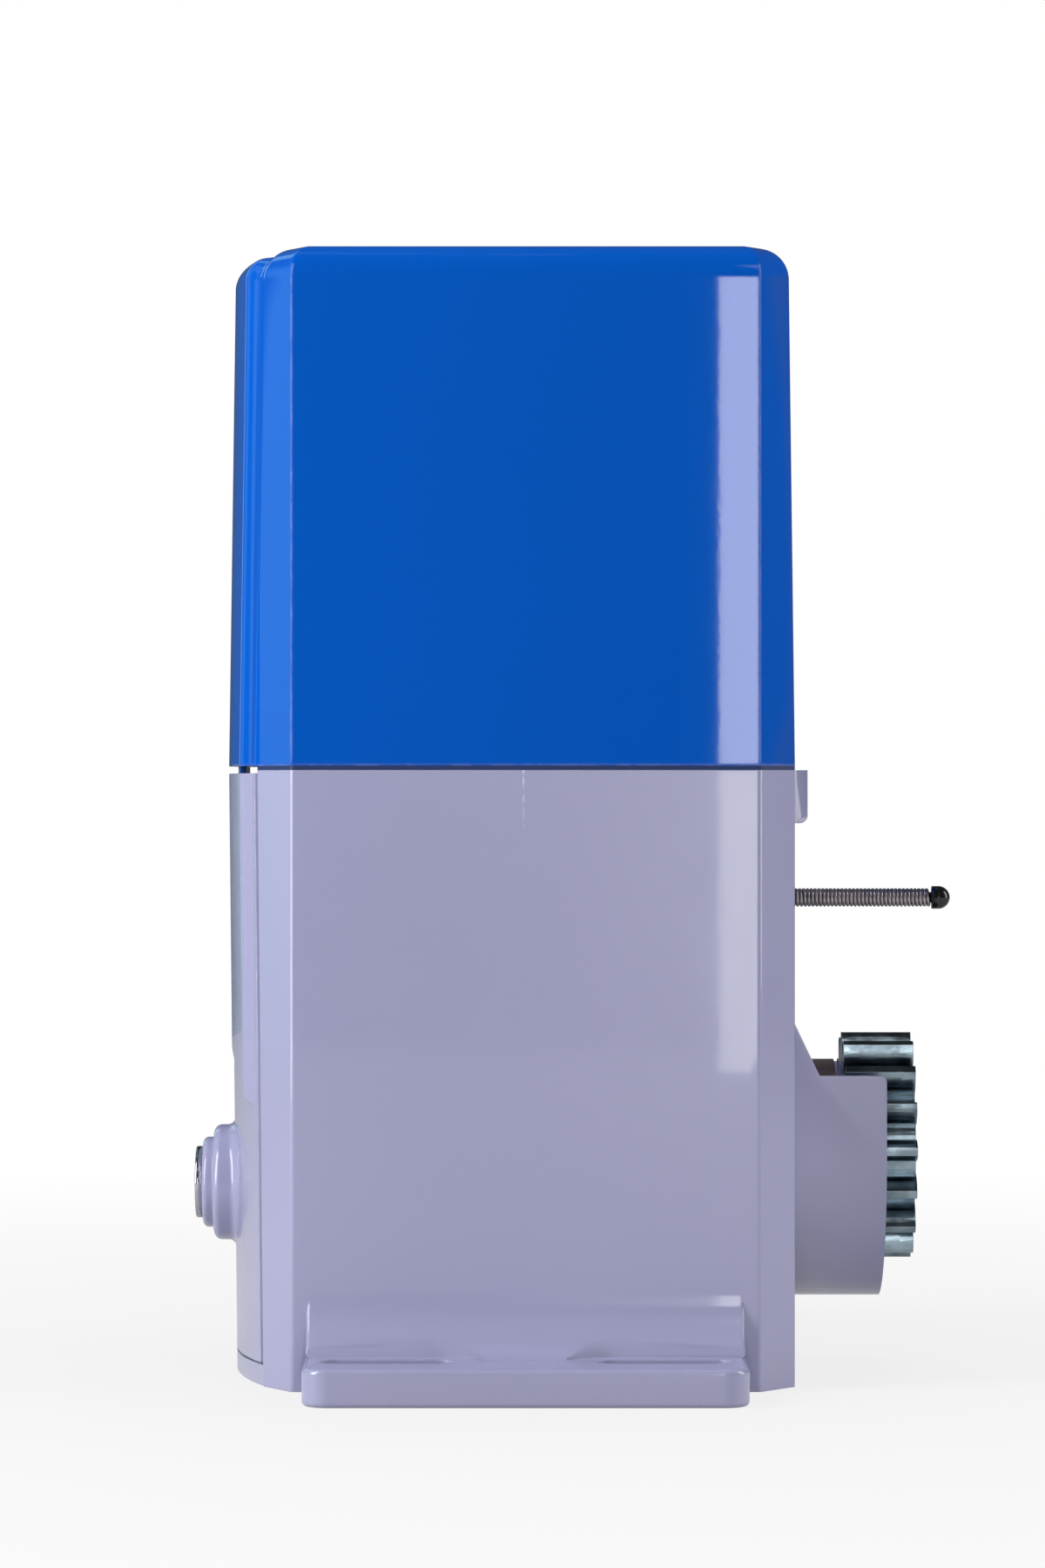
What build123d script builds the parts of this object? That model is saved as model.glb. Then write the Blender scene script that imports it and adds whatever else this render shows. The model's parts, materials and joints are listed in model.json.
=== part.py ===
from build123d import *

import os
from math import acos, cos, pi, radians, sin, sqrt, tan

# A sliding gate motor. Millimetres, +X towards the gate, +Z up.
# The origin is the centre of the four foundation slots, on the underside of the feet.

os.makedirs("parts", exist_ok=True)

# Clearances
run_fit = 0.05          # shaft in bore, on the radius
bolt_fit = 0.1          # screw in its hole, on the radius
air = 0.4               # between pieces that move past each other
over = 1.0              # a cut starts and ends this far outside the piece

# Lower body casting
body_top = 191.1
wall = 4.0
floor_t = 6.0
side_y = 84.0           # half width over the side walls
side_x = 72.1           # the flat side walls run from -side_x to side_x
back_x = 83.5
back_flat_y = 69.0
front_x = -81.35        # front wall at the floor
front_lean = 0.6        # degrees that the front wall leans out on the way up
front_chamfer_slope = 1.79
body_edge_r = 1.8

# Feet
foot_half_x = 67.35
foot_half_y = 130.0
foot_t = 11.5
foot_corner_r = 8.0
foot_edge_r = 1.5
flare_r = 19.0
flare_edge_r = 1.2
flare_end = 0.1         # the flare stops this far inside the foot's end
slot_x = 42.15
slot_y = 105.5
slot_len = 41.0
slot_w = 10.5
pocket_inner_r = 15.5
pocket_outer_r = 11.0

# Bowed front: sill and release door
bow_half = 66.0
bow_depth = 11.2
sill_top = 6.4
door_gap = 0.6
door_top = 190.2
door_half_y = 63.0
door_wall = 2.6
rebate = 1.6
door_open_half_y = 52.0
door_open_z0 = 15.0
door_open_z1 = 176.0
raised_half = 55.5
raised_edge_depth = 5.6
raised_mid_depth = 11.8
raised_corner_r = 8.0
arch_r = 104.0
arch_crown_z = 104.6

# Door hinge, on the far side of the front
hinge_out = 4.45        # from the body's front corner out to the pin
hinge_barrel_r = 3.6
hinge_pin_r = 1.5
hinge_leaf = 9.0        # height of one knuckle
hinge_turn = 20.5       # degrees of the line from the corner out to the pin
hinge_head_r = 2.6
hinge_head_t = 1.2
hinge_door_in = 6.0     # the door's leaf reaches this far onto the door
hinge_body_in = 2.75    # the body's leaf reaches this far into the corner
hinge_back = 1.5        # that line starts this far inside the corner
hinge_low_z = 34.0
hinge_high_z = 150.0

# Lock
lock_z = 58.7
lock_flange_r = 18.5
lock_flange_x = -100.15
lock_neck_r = 14.5
lock_neck_x = -103.65
lock_ring_r = 11.5
lock_face_x = -105.95
lock_flange_edge_r = 2.6
lock_neck_edge_r = 1.8
lock_root_r = 2.5       # blend between the flange and the door
lock_skin = 1.0         # the boss ends this far outside the front wall
lock_barrel_r = 9.5
lock_plug_r = 7.0
lock_nut_half = 13.0
lock_ring_edge_r = 0.6
lock_nut_t = 4.0
cam_len = 56.0
cam_w = 14.0
cam_t = 3.0
cam_pin_r = 4.0
cam_screw_r = 5.5
cam_screw_t = 2.5
cam_screw_slot = 1.2
cam_gap = 1.2           # between the front wall and the cam
key_slot_w = 2.0
key_slot_h = 8.0
key_slot_depth = 12.0

# Top cover
seam = 1.3              # thickness of the gasket between body and cover
cover_wall = 2.8
cover_top = 353.0
cover_back_draft = 2.0
cover_front_draft = 2.2
cover_side_draft = 0.8
cover_top_r = 10.0
cover_bulge_drop = 1.6
cover_bulge_r = 7.0
cover_bulge_in = 1.5    # the cover's bow is this much narrower than the sill's, on each side
cover_flank_drop = 1.0  # the bow's top lies this far below the raised field's
bulge_root = 8.0        # the bulge starts this far behind the front plane
tongue_half_y = 14.0
tongue_t = 2.4
tongue_drop = 12.0
tongue_side = 2.0       # between the tongue and its notch, on each side

# Rear ledge
ledge_out = 4.4
ledge_h = 16.5
ledge_half_y = 60.0
ledge_r = 2.5

# Output shaft and pinion
output_y = -6.0
output_z = 71.1
shaft_r = 10.0
shaft_mid_r = 12.5
pinion_x0 = 101.35
pinion_width = 22.2
pinion_module = 4.0
pinion_teeth = 16
pressure_angle = 20.0
pinion_recess_r = 14.5
pinion_recess = 7.0
bolt_r = 4.0
bolt_len = 18.0
bolt_head_half = 6.5
bolt_head_h = 5.3
washer_t = 2.5
shaft_in = 0.5          # each step of the shaft stops this far short
key_in = 1.0            # the key stops this far inside the pinion
key_w = 6.0
key_h = 3.0

# Pinion guard
guard_r = 48.0
guard_t = 5.0
guard_x1 = 113.0
guard_top_z = 95.5
guard_edge_r = 2.0
gusset_rise = 17.8
gusset_run = 8.5
gusset_t = 8.0

# Ball bearings: bore radius, outer radius, width
big_bearing = (10.0, 23.5, 14.0)
low_bearing = (6.0, 14.0, 8.0)
mid_bearing = (7.5, 17.5, 11.0)
top_bearing = (6.0, 16.0, 10.0)
bearing_boss_t = 4.0
bearing_lip = 3.0       # the shoulder behind a bearing's outer ring
bearing_lip_t = 2.0
low_bearing_lift = 6.0  # floor to the worm's lower bearing
rear_boss_x0 = 75.5
rear_boss_x1 = 98.8
seal_t = 7.0
seal_rim = 3.0
seal_dish = 2.0

# Gearbox chamber inside the body
chamber_x0 = -25.0
chamber_y0 = -50.0
chamber_y1 = 64.0
chamber_wall = 5.0
chamber_rise = 36.9     # output axis to the chamber's top
lid_gasket_t = 1.0
lid_t = 6.0
lid_screw_r = 2.5
lid_boss_r = 6.5
lid_boss_h = 26.0
lid_screw_land = 4.0    # solid metal under a lid screw's hole

# Worm and wheel
worm_x = 24.0
worm_r = 12.0
worm_len = 42.0
worm_centres = 42.2
wheel_teeth = 32
wheel_width = 16.0
wheel_hub_r = 19.0
wheel_hub_x0 = 9.3
wheel_hub_x1 = 38.0
wheel_tooth_depth = 3.4
wheel_lead = 5.5        # degrees that the teeth lean
worm_air = 0.2          # between the worm and the wheel's rim
dog_len = 3.0
dog_w = 9.0
dog_count = 4

# Release clutch and its lever
sleeve_r = 18.0
sleeve_len = 12.0
clutch_travel = 3.6
pin_r = 2.5
rod_r = 3.5
rod_end_x = -46.0
lever_hub_r = 11.0
lever_hub_x0 = -40.0
lever_journal_r = 9.0
lever_len = 46.0
lever_grip_r = 8.0
lever_grip_len = 6.0
lever_edge_r = 2.0
lever_arm_half = 5.0
lever_arm_t = 7.0
rod_nut_t = 4.0
rod_nut_half = 6.5

# Motor
motor_r = 42.0
motor_lift = 20.0       # gearbox lid to stator
motor_len = 60.0
stator_bore_r = 23.5
rotor_r = 23.0
rotor_ring = 4.0        # end rings: their height, and how much smaller than the core
winding_r0 = 25.0
winding_r1 = 33.0
winding_h = 13.0
winding_edge_r = 3.0
motor_ring_r = 34.5
bell_h = 17.0
bell_top_t = 4.0
bell_edge_r = 2.0
tie_circle_r = 38.2
tie_r = 2.5
tie_count = 4
tie_bite = 12.0         # how deep the tie bolts go into the lid's ring
fan_r = 34.0
fan_h = 10.0
fan_blades = 9
fan_lift = 6.0          # end bell to fan
fan_plate_t = 1.5
fan_blade_t = 1.6

# Limit lever
limit_y = -12.0
limit_z = 150.5
limit_x = 70.0
limit_box_x0 = 57.0
limit_box_half_y = 18.0
limit_box_half_z = 15.0
limit_hub_r = 6.0
limit_hub_h = 12.0
limit_pin_r = 2.0
limit_swing = 30.0
spring_r = 3.0
spring_wire = 1.23
spring_x0 = 77.0
spring_x1 = 130.0
cap_r = 3.65
cap_x1 = 135.8
window_half_z = 6.0
limit_box_edge_r = 2.0
limit_core_len = 12.0   # the hub's stem in the spring
cap_stem = 8.0
limit_pin_in = 2.0      # the pivot pin ends this far inside the box

# Electronics
bracket_x = -25.0
bracket_t = 2.0
bracket_half_y = 62.0
bracket_foot = 11.0
bracket_side = 8.0
bracket_gap_h = 20.0    # opening in the upright over the motor's ring
shelf_x1 = 42.0
shelf_half_y = 36.0
shelf_rib_h = 30.0
shelf_rib_end = 6.0
board_half_y = 54.0
board_z0 = 150.0
board_t = 1.6
board_hole_r = 1.6
board_screw_r = 1.5
standoff = 10.0
spacer_r = 3.5
board_hole_in = 6.0
bracket_screw_r = 2.0
capacitor_x = 38.0
capacitor_y = -30.0
capacitor_r = 15.0
capacitor_h = 68.0
capacitor_tab = (0.8, 6.0, 8.0)
clip_t = 2.0
clip_h = 12.0
core_w = 46.0
core_d = 56.0
core_limb = 9.0
core_gap = 6.0          # upright to core
coil_out = 4.0
coil_edge_r = 3.0
can_edge_r = 2.0

# Share of the room between the shaft's end and the cover's ceiling
shelf_share = 0.24
core_share = 0.41
board_share = 0.57
bracket_share = 0.78

# Parts on the board: depth, width, height, and how far up the board they sit, as a share of its height
terminal_pitch = 5.0
terminal_h = 12.0
terminal_rows = ((-44.0, 6), (4.0, 8))
relay_size = (16.0, 15.0, 19.0)
relay_ys = (-44.0, -24.0, -4.0)
relay_edge_r = 1.0
relay_up = 0.33
fuse_y = 30.0
fuse_r = 3.0
fuse_len = 20.0
fuse_clip = 6.0
fuse_up = 0.57
chip_size = (3.0, 24.0, 8.0)
chip_pin_count = 10
chip_up = 0.75

# Cable entry in the floor
cable_x = -52.0
cable_y = 30.0
cable_r = 14.0
cable_boss_t = 3.0
cable_boss_h = 12.0

# Worked out from the sizes above
cover_bottom = body_top + seam
worm_y = output_y + worm_centres
wheel_r = worm_centres - worm_r - worm_air
chamber_x1 = back_x - wall
pinion_x1 = pinion_x0 + pinion_width
recess_floor_x = pinion_x1 - pinion_recess
chamber_top = output_z + chamber_rise
lid_z0 = chamber_top + lid_gasket_t
lid_z1 = lid_z0 + lid_t
motor_z0 = lid_z1 + motor_lift
motor_z1 = motor_z0 + motor_len
lean = radians(front_lean)
swing = radians(limit_swing)
window_half_y = (back_x - limit_x) * tan(swing) + spring_r / cos(swing) + air / 2
front_top_x = front_x - body_top * tan(lean)
fan_z0 = motor_z1 + bell_h + bell_top_t + fan_lift
shaft_end_z = fan_z0 + fan_h + 2 * over
room = cover_top - cover_wall - shaft_end_z
shelf_z = shaft_end_z + shelf_share * room
core_h = core_share * room
board_z1 = shaft_end_z + board_share * room
bracket_top = shaft_end_z + bracket_share * room
board_h = board_z1 - board_z0


# Basic shapes

def block(x0, x1, y0, y1, z0, z1):
    return Pos((x0 + x1) / 2, (y0 + y1) / 2, (z0 + z1) / 2) * Box(x1 - x0, y1 - y0, z1 - z0)


def rod_x(r, x0, x1, y=0.0, z=0.0):
    along = (Align.CENTER, Align.CENTER, Align.MIN)
    return Pos(x0, y, z) * Rot(0, 90, 0) * Cylinder(r, x1 - x0, align=along)


def rod_z(r, z0, z1, x=0.0, y=0.0):
    along = (Align.CENTER, Align.CENTER, Align.MIN)
    return Pos(x, y, z0) * Cylinder(r, z1 - z0, align=along)


def hex_x(half_flat, x0, x1, y=0.0, z=0.0):
    face = Rot(0, 90, 0) * RegularPolygon(half_flat, 6, major_radius=False)
    return Pos(x0, y, z) * extrude(face, x1 - x0, dir=(1, 0, 0))


def hex_z(half_flat, z0, z1, x=0.0, y=0.0):
    return Pos(x, y, z0) * extrude(RegularPolygon(half_flat, 6, major_radius=False), z1 - z0)


def both_sides(solid):
    return [solid, mirror(solid, about=Plane.XZ)]


def front_frame(inset=0.0):
    """Frame whose YZ plane lies in the leaning front wall, inset into the body."""
    return Pos(front_x + inset, 0, 0) * Rot(0, -front_lean, 0)


# Outlines shared by the body, the door and the cover

def plan_points(front, back, half):
    crease_y = half - (-side_x - front) * front_chamfer_slope
    near = [(-side_x, -half), (side_x, -half), (back, -back_flat_y)]
    far = [(x, -y) for x, y in reversed(near)]
    return near + far + [(front, crease_y), (front, -crease_y)]


def plan_face(front, back, half, inset=0.0):
    face = make_face(Polyline(*plan_points(front, back, half), close=True))
    if inset:
        face = offset(face, -inset, kind=Kind.INTERSECTION)
    return face


def bow_face(half, depth, behind):
    """Plan of the bowed front in the front frame: an arc closed by a box behind it."""
    radius = (bow_half ** 2 + depth ** 2) / (2 * depth)
    edge_x = radius - depth - sqrt(radius ** 2 - half ** 2)
    arc = ThreePointArc((edge_x, -half), (-depth, 0), (edge_x, half))
    back = Polyline((edge_x, half), (behind, half), (behind, -half), (edge_x, -half))
    return make_face([*arc.edges(), *back.edges()])


def raised_face(behind, inset=0.0):
    """Plan of the raised field: a flatter arc between two flanks at 45 degrees."""
    foot_y = raised_half + raised_edge_depth + behind
    arc = ThreePointArc((-raised_edge_depth, -raised_half), (-raised_mid_depth, 0),
                        (-raised_edge_depth, raised_half))
    back = Polyline((-raised_edge_depth, raised_half), (behind, foot_y),
                    (behind, -foot_y), (-raised_edge_depth, -raised_half))
    face = make_face([*arc.edges(), *back.edges()])
    corners = face.vertices().group_by(Axis.X)[0]
    face = fillet(corners, raised_corner_r)
    if inset:
        face = offset(face, -inset, kind=Kind.INTERSECTION)
    return face


# Lower body casting

def body_prism(z0, z1, inset):
    front = front_x - 2 * rebate - body_top * tan(lean)
    prism = Pos(0, 0, z0) * extrude(plan_face(front, back_x, side_y, inset), z1 - z0)
    if not inset:
        prism = fillet(prism.edges().filter_by(Axis.Z), body_edge_r)
    outside = front_frame(inset) * block(-side_x, 0, -2 * side_y, 2 * side_y, -side_y, 2 * body_top)
    return prism - outside


def foot():
    slab = block(-foot_half_x, foot_half_x, -foot_half_y, -side_y + wall, 0, foot_t)
    corners = slab.edges().filter_by(Axis.Z).group_by(Axis.Y)[0]
    slab = fillet(corners, foot_corner_r)
    rims = [e for e in slab.edges() if abs(e.center().Z - foot_t / 2) > foot_t / 4]
    slab = fillet([e for e in rims if e.center().Y < -side_y], foot_edge_r)
    end = foot_half_x - flare_end
    flare = block(-end, end, -side_y - flare_r, -side_y + wall / 2, foot_t, foot_t + flare_r)
    flare = flare - rod_x(flare_r, -foot_half_x, foot_half_x, -side_y - flare_r, foot_t + flare_r)
    whole = slab + flare
    ends = [e for e in whole.edges().filter_by(GeomType.CIRCLE) if abs(abs(e.center().X) - end) < 0.01]
    return fillet([e for e in ends if e.center().Z > foot_t], flare_edge_r)


def slot_tool(side):
    slot = Pos(side * slot_x, -slot_y, -over) * extrude(SlotOverall(slot_len, slot_w), foot_t + 2 * over)
    inner = side * (slot_x - slot_len / 2 + slot_w / 2)
    outer = side * (foot_half_x + pocket_outer_r)
    ring = Pos(inner, -slot_y) * Circle(pocket_inner_r)
    end = Pos(outer, -slot_y) * Circle(pocket_outer_r)
    hull = make_hull(ring.edges() + end.edges())
    pocket = Pos(0, 0, foot_t) * extrude(hull, 2 * flare_r)
    return slot + pocket


def guard():
    """U-shaped guard about the pinion, open at the top."""
    x0 = back_x - wall / 2
    outer = rod_x(guard_r, x0, guard_x1, output_y, output_z)
    outer += block(x0, guard_x1, output_y - guard_r, output_y + guard_r, output_z, guard_top_z)
    top = [e for e in outer.edges() if e.center().Z > guard_top_z - 1 and e.center().X > guard_x1 - over]
    outer = fillet(top, guard_edge_r)
    inner_r = guard_r - guard_t
    outer = outer - block(x0 - over, guard_x1 + over, output_y - guard_r, output_y + guard_r, guard_top_z,
                          output_z + guard_r + over)
    cut = rod_x(inner_r, back_x, guard_x1 + over, output_y, output_z)
    cut += block(back_x, guard_x1 + over, output_y - inner_r, output_y + inner_r,
                 output_z, guard_top_z + over)
    corners = ((0, 0), (gusset_run, 0), (0, gusset_rise), (-wall / 2, gusset_rise), (-wall / 2, 0))
    near_y = output_y - guard_r
    gusset = extrude(make_face(Polyline(*corners, close=True)), gusset_t)
    gusset = Pos(back_x, near_y + gusset_t, guard_top_z) * Rot(90, 0, 0) * gusset
    web = block(back_x, back_x + gusset_run, near_y, near_y + gusset_t, output_z, guard_top_z)
    return (outer - cut) + gusset + web


def chamber():
    """Walls of the gear chamber, which stand on the floor and meet the rear wall."""
    x1 = back_x - wall / 2
    outer = block(chamber_x0, x1, chamber_y0, chamber_y1, floor_t / 2, chamber_top)
    inner = block(chamber_x0 + chamber_wall, x1 + over, chamber_y0 + chamber_wall, chamber_y1 - chamber_wall,
                  floor_t, chamber_top + over)
    walls = outer - inner
    for x, y in lid_screw_places():
        walls += rod_z(lid_boss_r, chamber_top - lid_boss_h, chamber_top, x, y)
    return walls


def lid_screw_places():
    near = chamber_y0 + lid_boss_r
    far = chamber_y1 - lid_boss_r
    xs = [chamber_x0 + lid_boss_r, chamber_x1 - lid_boss_r - over]
    return [(x, y) for x in xs for y in (near, far)]


def body_casting():
    body = body_prism(0, body_top, 0) - body_prism(floor_t, body_top + over, wall)
    sill = front_frame() * extrude(bow_face(bow_half, bow_depth, wall), sill_top)
    sill = sill - block(-2 * side_x, 0, -side_y, side_y, -floor_t, 0)
    ledge = block(back_x - wall / 2, back_x + ledge_out, -ledge_half_y, ledge_half_y,
                  body_top - ledge_h, body_top)
    ledge = fillet(ledge.edges().filter_by(Axis.Y).group_by(Axis.Z)[0].sort_by(Axis.X)[-1], ledge_r)
    body += [sill, ledge, guard(), chamber()]
    body += both_sides(foot())
    boss_r = big_bearing[1] + bearing_boss_t
    body += rod_x(boss_r, rear_boss_x0, rear_boss_x1, output_y, output_z)
    body += rod_x(boss_r, chamber_x0, front_bearing_x() + big_bearing[2], output_y, output_z)
    low_top = low_bearing_z() + low_bearing[2]
    body += rod_z(low_bearing[1] + bearing_boss_t, floor_t / 2, low_top, worm_x, worm_y)
    for z in hinge_places():
        body += body_knuckles(z)
    body += rod_z(cable_r + cable_boss_t, floor_t / 2, floor_t + cable_boss_h, cable_x, cable_y)
    cuts = []
    for side in (-1, 1):
        cuts += both_sides(slot_tool(side))
    door_seat = block(-side_x, rebate, -door_half_y - air, door_half_y + air, sill_top, 2 * body_top)
    opening = block(-side_x, 3 * wall, -door_open_half_y, door_open_half_y, door_open_z0, door_open_z1)
    cuts += [front_frame() * door_seat, front_frame() * opening]
    front_x0 = front_bearing_x()
    cuts.append(rod_x(big_bearing[1], front_x0, front_x0 + 2 * big_bearing[2], output_y, output_z))
    cuts.append(rod_x(lever_journal_r + run_fit, chamber_x0 - over, front_x0 + over, output_y, output_z))
    cuts.append(rod_x(big_bearing[1], rear_bearing_x(), rear_boss_x1 + over, output_y, output_z))
    cuts.append(rod_x(big_bearing[1] - bearing_lip, rear_boss_x0 - over, rear_boss_x1, output_y, output_z))
    cuts.append(rod_z(low_bearing[1], low_bearing_z(), low_bearing_z() + 3 * low_bearing[2], worm_x, worm_y))
    cuts.append(rod_z(cable_r, -over, floor_t + cable_boss_h + over, cable_x, cable_y))
    cuts.append(block(chamber_x1 - over, back_x + ledge_out, limit_y - window_half_y, limit_y + window_half_y,
                      limit_z - window_half_z, limit_z + window_half_z))
    cuts += [hinge_hole(z) for z in hinge_places()]
    for x, y in lid_screw_places():
        cuts.append(rod_z(lid_screw_r, chamber_top - lid_boss_h + lid_screw_land, chamber_top + over, x, y))
    return body - cuts


def front_bearing_x():
    return chamber_x0 + wall


def low_bearing_z():
    return floor_t + low_bearing_lift


# Gearbox fittings

def ball_bearing(size, x=0.0, y=0.0, z=0.0, along_x=False):
    """Shielded bearing: two rings with a sunk shield between them on both faces."""
    bore_r, outer_r, width = size
    ring = (outer_r - bore_r) * 0.28
    shield_in = 0.6
    points = [(bore_r, 0), (bore_r + ring, 0), (bore_r + ring, shield_in), (outer_r - ring, shield_in),
              (outer_r - ring, 0), (outer_r, 0)]
    top = [(r, width - h) for r, h in reversed(points)]
    profile = Plane.XZ * make_face(Polyline(*points, *top, close=True))
    solid = revolve(profile, Axis.Z)
    if along_x:
        solid = Rot(0, 90, 0) * solid
    return Pos(x, y, z) * solid


def oil_seal():
    x0 = rear_boss_x1 - seal_t
    seal = rod_x(big_bearing[1], x0, rear_boss_x1, output_y, output_z)
    seal = seal - rod_x(big_bearing[0] + run_fit, x0, rear_boss_x1, output_y, output_z)
    dish = rod_x(big_bearing[1] - seal_rim, rear_boss_x1 - seal_dish, rear_boss_x1, output_y, output_z)
    dish = dish - rod_x(big_bearing[0] + seal_rim, rear_boss_x1 - seal_dish, rear_boss_x1, output_y, output_z)
    return seal - dish


def lid_outline(z0, z1, inset=0.0):
    return block(chamber_x0 + inset, chamber_x1 - air - inset, chamber_y0 + inset, chamber_y1 - inset, z0, z1)


def gearbox_lid_gasket():
    gasket = lid_outline(chamber_top, lid_z0) - lid_outline(chamber_top, lid_z0, chamber_wall)
    for x, y in lid_screw_places():
        gasket += rod_z(lid_boss_r, chamber_top, lid_z0, x, y)
    return gasket - lid_screw_holes(chamber_top, lid_z0)


def lid_screw_holes(z0, z1):
    return [rod_z(lid_screw_r + bolt_fit, z0 - over, z1 + over, x, y) for x, y in lid_screw_places()]


def gearbox_lid():
    """Lid with the seat of the upper worm bearing below and the motor's ring above."""
    lid = lid_outline(lid_z0, lid_z1)
    bearing_z = upper_bearing_z()
    lid += rod_z(mid_bearing[1] + bearing_boss_t, bearing_z - bearing_lip_t, lid_z0 + over, worm_x, worm_y)
    lid += rod_z(motor_r, lid_z0, motor_z0, worm_x, worm_y)
    hollow = rod_z(motor_ring_r, lid_z1, motor_z0 + over, worm_x, worm_y)
    bore = rod_z(mid_bearing[1], bearing_z, lid_z1 + over, worm_x, worm_y)
    throat = rod_z(mid_bearing[1] - bearing_lip, bearing_z - bearing_lip, bearing_z + over, worm_x, worm_y)
    lid = lid - [hollow, bore, throat] - lid_screw_holes(lid_z0, lid_z1)
    for x, y in bracket_screw_places():
        lid = lid - rod_z(bracket_screw_r, lid_z0 + over, lid_z1 + over, x, y)
    tie_z0 = motor_z0 - tie_bite - 2 * over
    return lid - [rod_z(tie_r, tie_z0, motor_z0 + over, x, y) for x, y in tie_places()]


def upper_bearing_z():
    return lid_z1 - mid_bearing[2] - bearing_lip_t


def gearbox_lid_screws():
    screws = []
    for x, y in lid_screw_places():
        shank = rod_z(lid_screw_r, chamber_top - lid_boss_h + 1.5 * lid_screw_land, lid_z1, x, y)
        head = rod_z(1.7 * lid_screw_r, lid_z1, lid_z1 + lid_screw_r * 2, x, y)
        socket = hex_z(lid_screw_r * 0.8, lid_z1 + lid_screw_r, lid_z1 + lid_screw_r * 2 + over, x, y)
        screws.append(shank + head - socket)
    return screws


# Output shaft, pinion, worm wheel

def output_shaft():
    x0 = front_bearing_x() + 2 * shaft_in
    mid_x0 = front_bearing_x() + big_bearing[2]
    mid_x1 = rear_bearing_x()
    end = recess_floor_x - shaft_in
    shaft = rod_x(shaft_r - run_fit, x0, end, output_y, output_z)
    shaft += rod_x(shaft_mid_r, mid_x0 + shaft_in, mid_x1 - shaft_in, output_y, output_z)
    rod_bore = rod_x(rod_r + run_fit, x0 - over, sleeve_pin_x() + 3 * pin_r, output_y, output_z)
    slot_x0 = sleeve_pin_x() - clutch_travel - pin_r - air
    slot_x1 = sleeve_pin_x() + pin_r + air
    pin_slot = block(slot_x0, slot_x1, output_y - pin_r - run_fit, output_y + pin_r + run_fit,
                     output_z - 2 * shaft_mid_r, output_z + 2 * shaft_mid_r)
    keyway = block(pinion_x0 + key_in, end + over, output_y - key_w / 2, output_y + key_w / 2,
                   output_z + shaft_r - key_h, output_z + 2 * shaft_r)
    thread = rod_x(bolt_r, end - bolt_len - bolt_r, end + over, output_y, output_z)
    return shaft - [rod_bore, pin_slot, keyway, thread]


def rear_bearing_x():
    return rear_boss_x0 + bearing_lip_t


def sleeve_x0():
    return wheel_hub_x0 - air - sleeve_len


def sleeve_pin_x():
    return sleeve_x0() + sleeve_len / 2


def involute_tooth(module, teeth, alpha, steps=5):
    """One tooth's flanks from the base circle to the tip, as points on the +Y and -Y side."""
    pitch_r = module * teeth / 2
    base_r = pitch_r * cos(alpha)
    tip_r = pitch_r + module
    half_pitch = pi / (2 * teeth) + tan(alpha) - alpha
    flank = []
    for i in range(steps + 1):
        r = base_r + (tip_r - base_r) * i / steps
        roll = acos(min(1.0, base_r / r))
        angle = half_pitch - (tan(roll) - roll)
        flank.append((r, angle))
    return flank


def gear_face(module, teeth, alpha):
    """Outline of a spur gear: root arc, radial foot, involute flank, tip arc, for each tooth."""
    root_r = module * teeth / 2 - 1.25 * module
    flank = involute_tooth(module, teeth, alpha)
    base_angle = flank[0][1]
    tip_r, tip_angle = flank[-1]
    step = 2 * pi / teeth

    def at(r, angle):
        return Vector(r * cos(angle), r * sin(angle))

    edges = []
    for i in range(teeth):
        mid = i * step
        up = [at(r, mid - a) for r, a in flank]
        down = [at(r, mid + a) for r, a in reversed(flank)]
        foot_up = at(root_r, mid - base_angle)
        foot_down = at(root_r, mid + base_angle)
        next_foot = at(root_r, mid + step - base_angle)
        edges.append(Line(foot_up, up[0]))
        edges.append(Spline(*up))
        edges.append(ThreePointArc(up[-1], at(tip_r, mid), down[0]))
        edges.append(Spline(*down))
        edges.append(Line(down[-1], foot_down))
        edges.append(ThreePointArc(foot_down, at(root_r, mid + step / 2), next_foot))
    return make_face([e for edge in edges for e in edge.edges()])


def pinion():
    face = gear_face(pinion_module, pinion_teeth, radians(pressure_angle))
    gear = Rot(0, 90, 0) * extrude(face, pinion_width)
    gear = Pos(pinion_x0, output_y, output_z) * gear
    bore = rod_x(shaft_r, pinion_x0 - over, pinion_x1, output_y, output_z)
    recess = rod_x(pinion_recess_r, recess_floor_x, pinion_x1 + over, output_y, output_z)
    keyway = block(pinion_x0 - over, recess_floor_x + over, output_y - key_w / 2, output_y + key_w / 2,
                   output_z, output_z + shaft_r + key_h)
    return gear - [bore, recess, keyway]


def pinion_key():
    return block(pinion_x0 + key_in, recess_floor_x - key_in, output_y - key_w / 2, output_y + key_w / 2,
                 output_z + shaft_r - key_h, output_z + shaft_r + key_h - air / 2)


def pinion_washer():
    x1 = recess_floor_x + washer_t
    washer = rod_x(pinion_recess_r - air, recess_floor_x, x1, output_y, output_z)
    return washer - rod_x(bolt_r + bolt_fit, recess_floor_x - over, x1 + over, output_y, output_z)


def pinion_bolt():
    head_x = recess_floor_x + washer_t
    bolt = rod_x(bolt_r, recess_floor_x - bolt_len, head_x, output_y, output_z)
    return bolt + hex_x(bolt_head_half, head_x, head_x + bolt_head_h, output_y, output_z)


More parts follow.
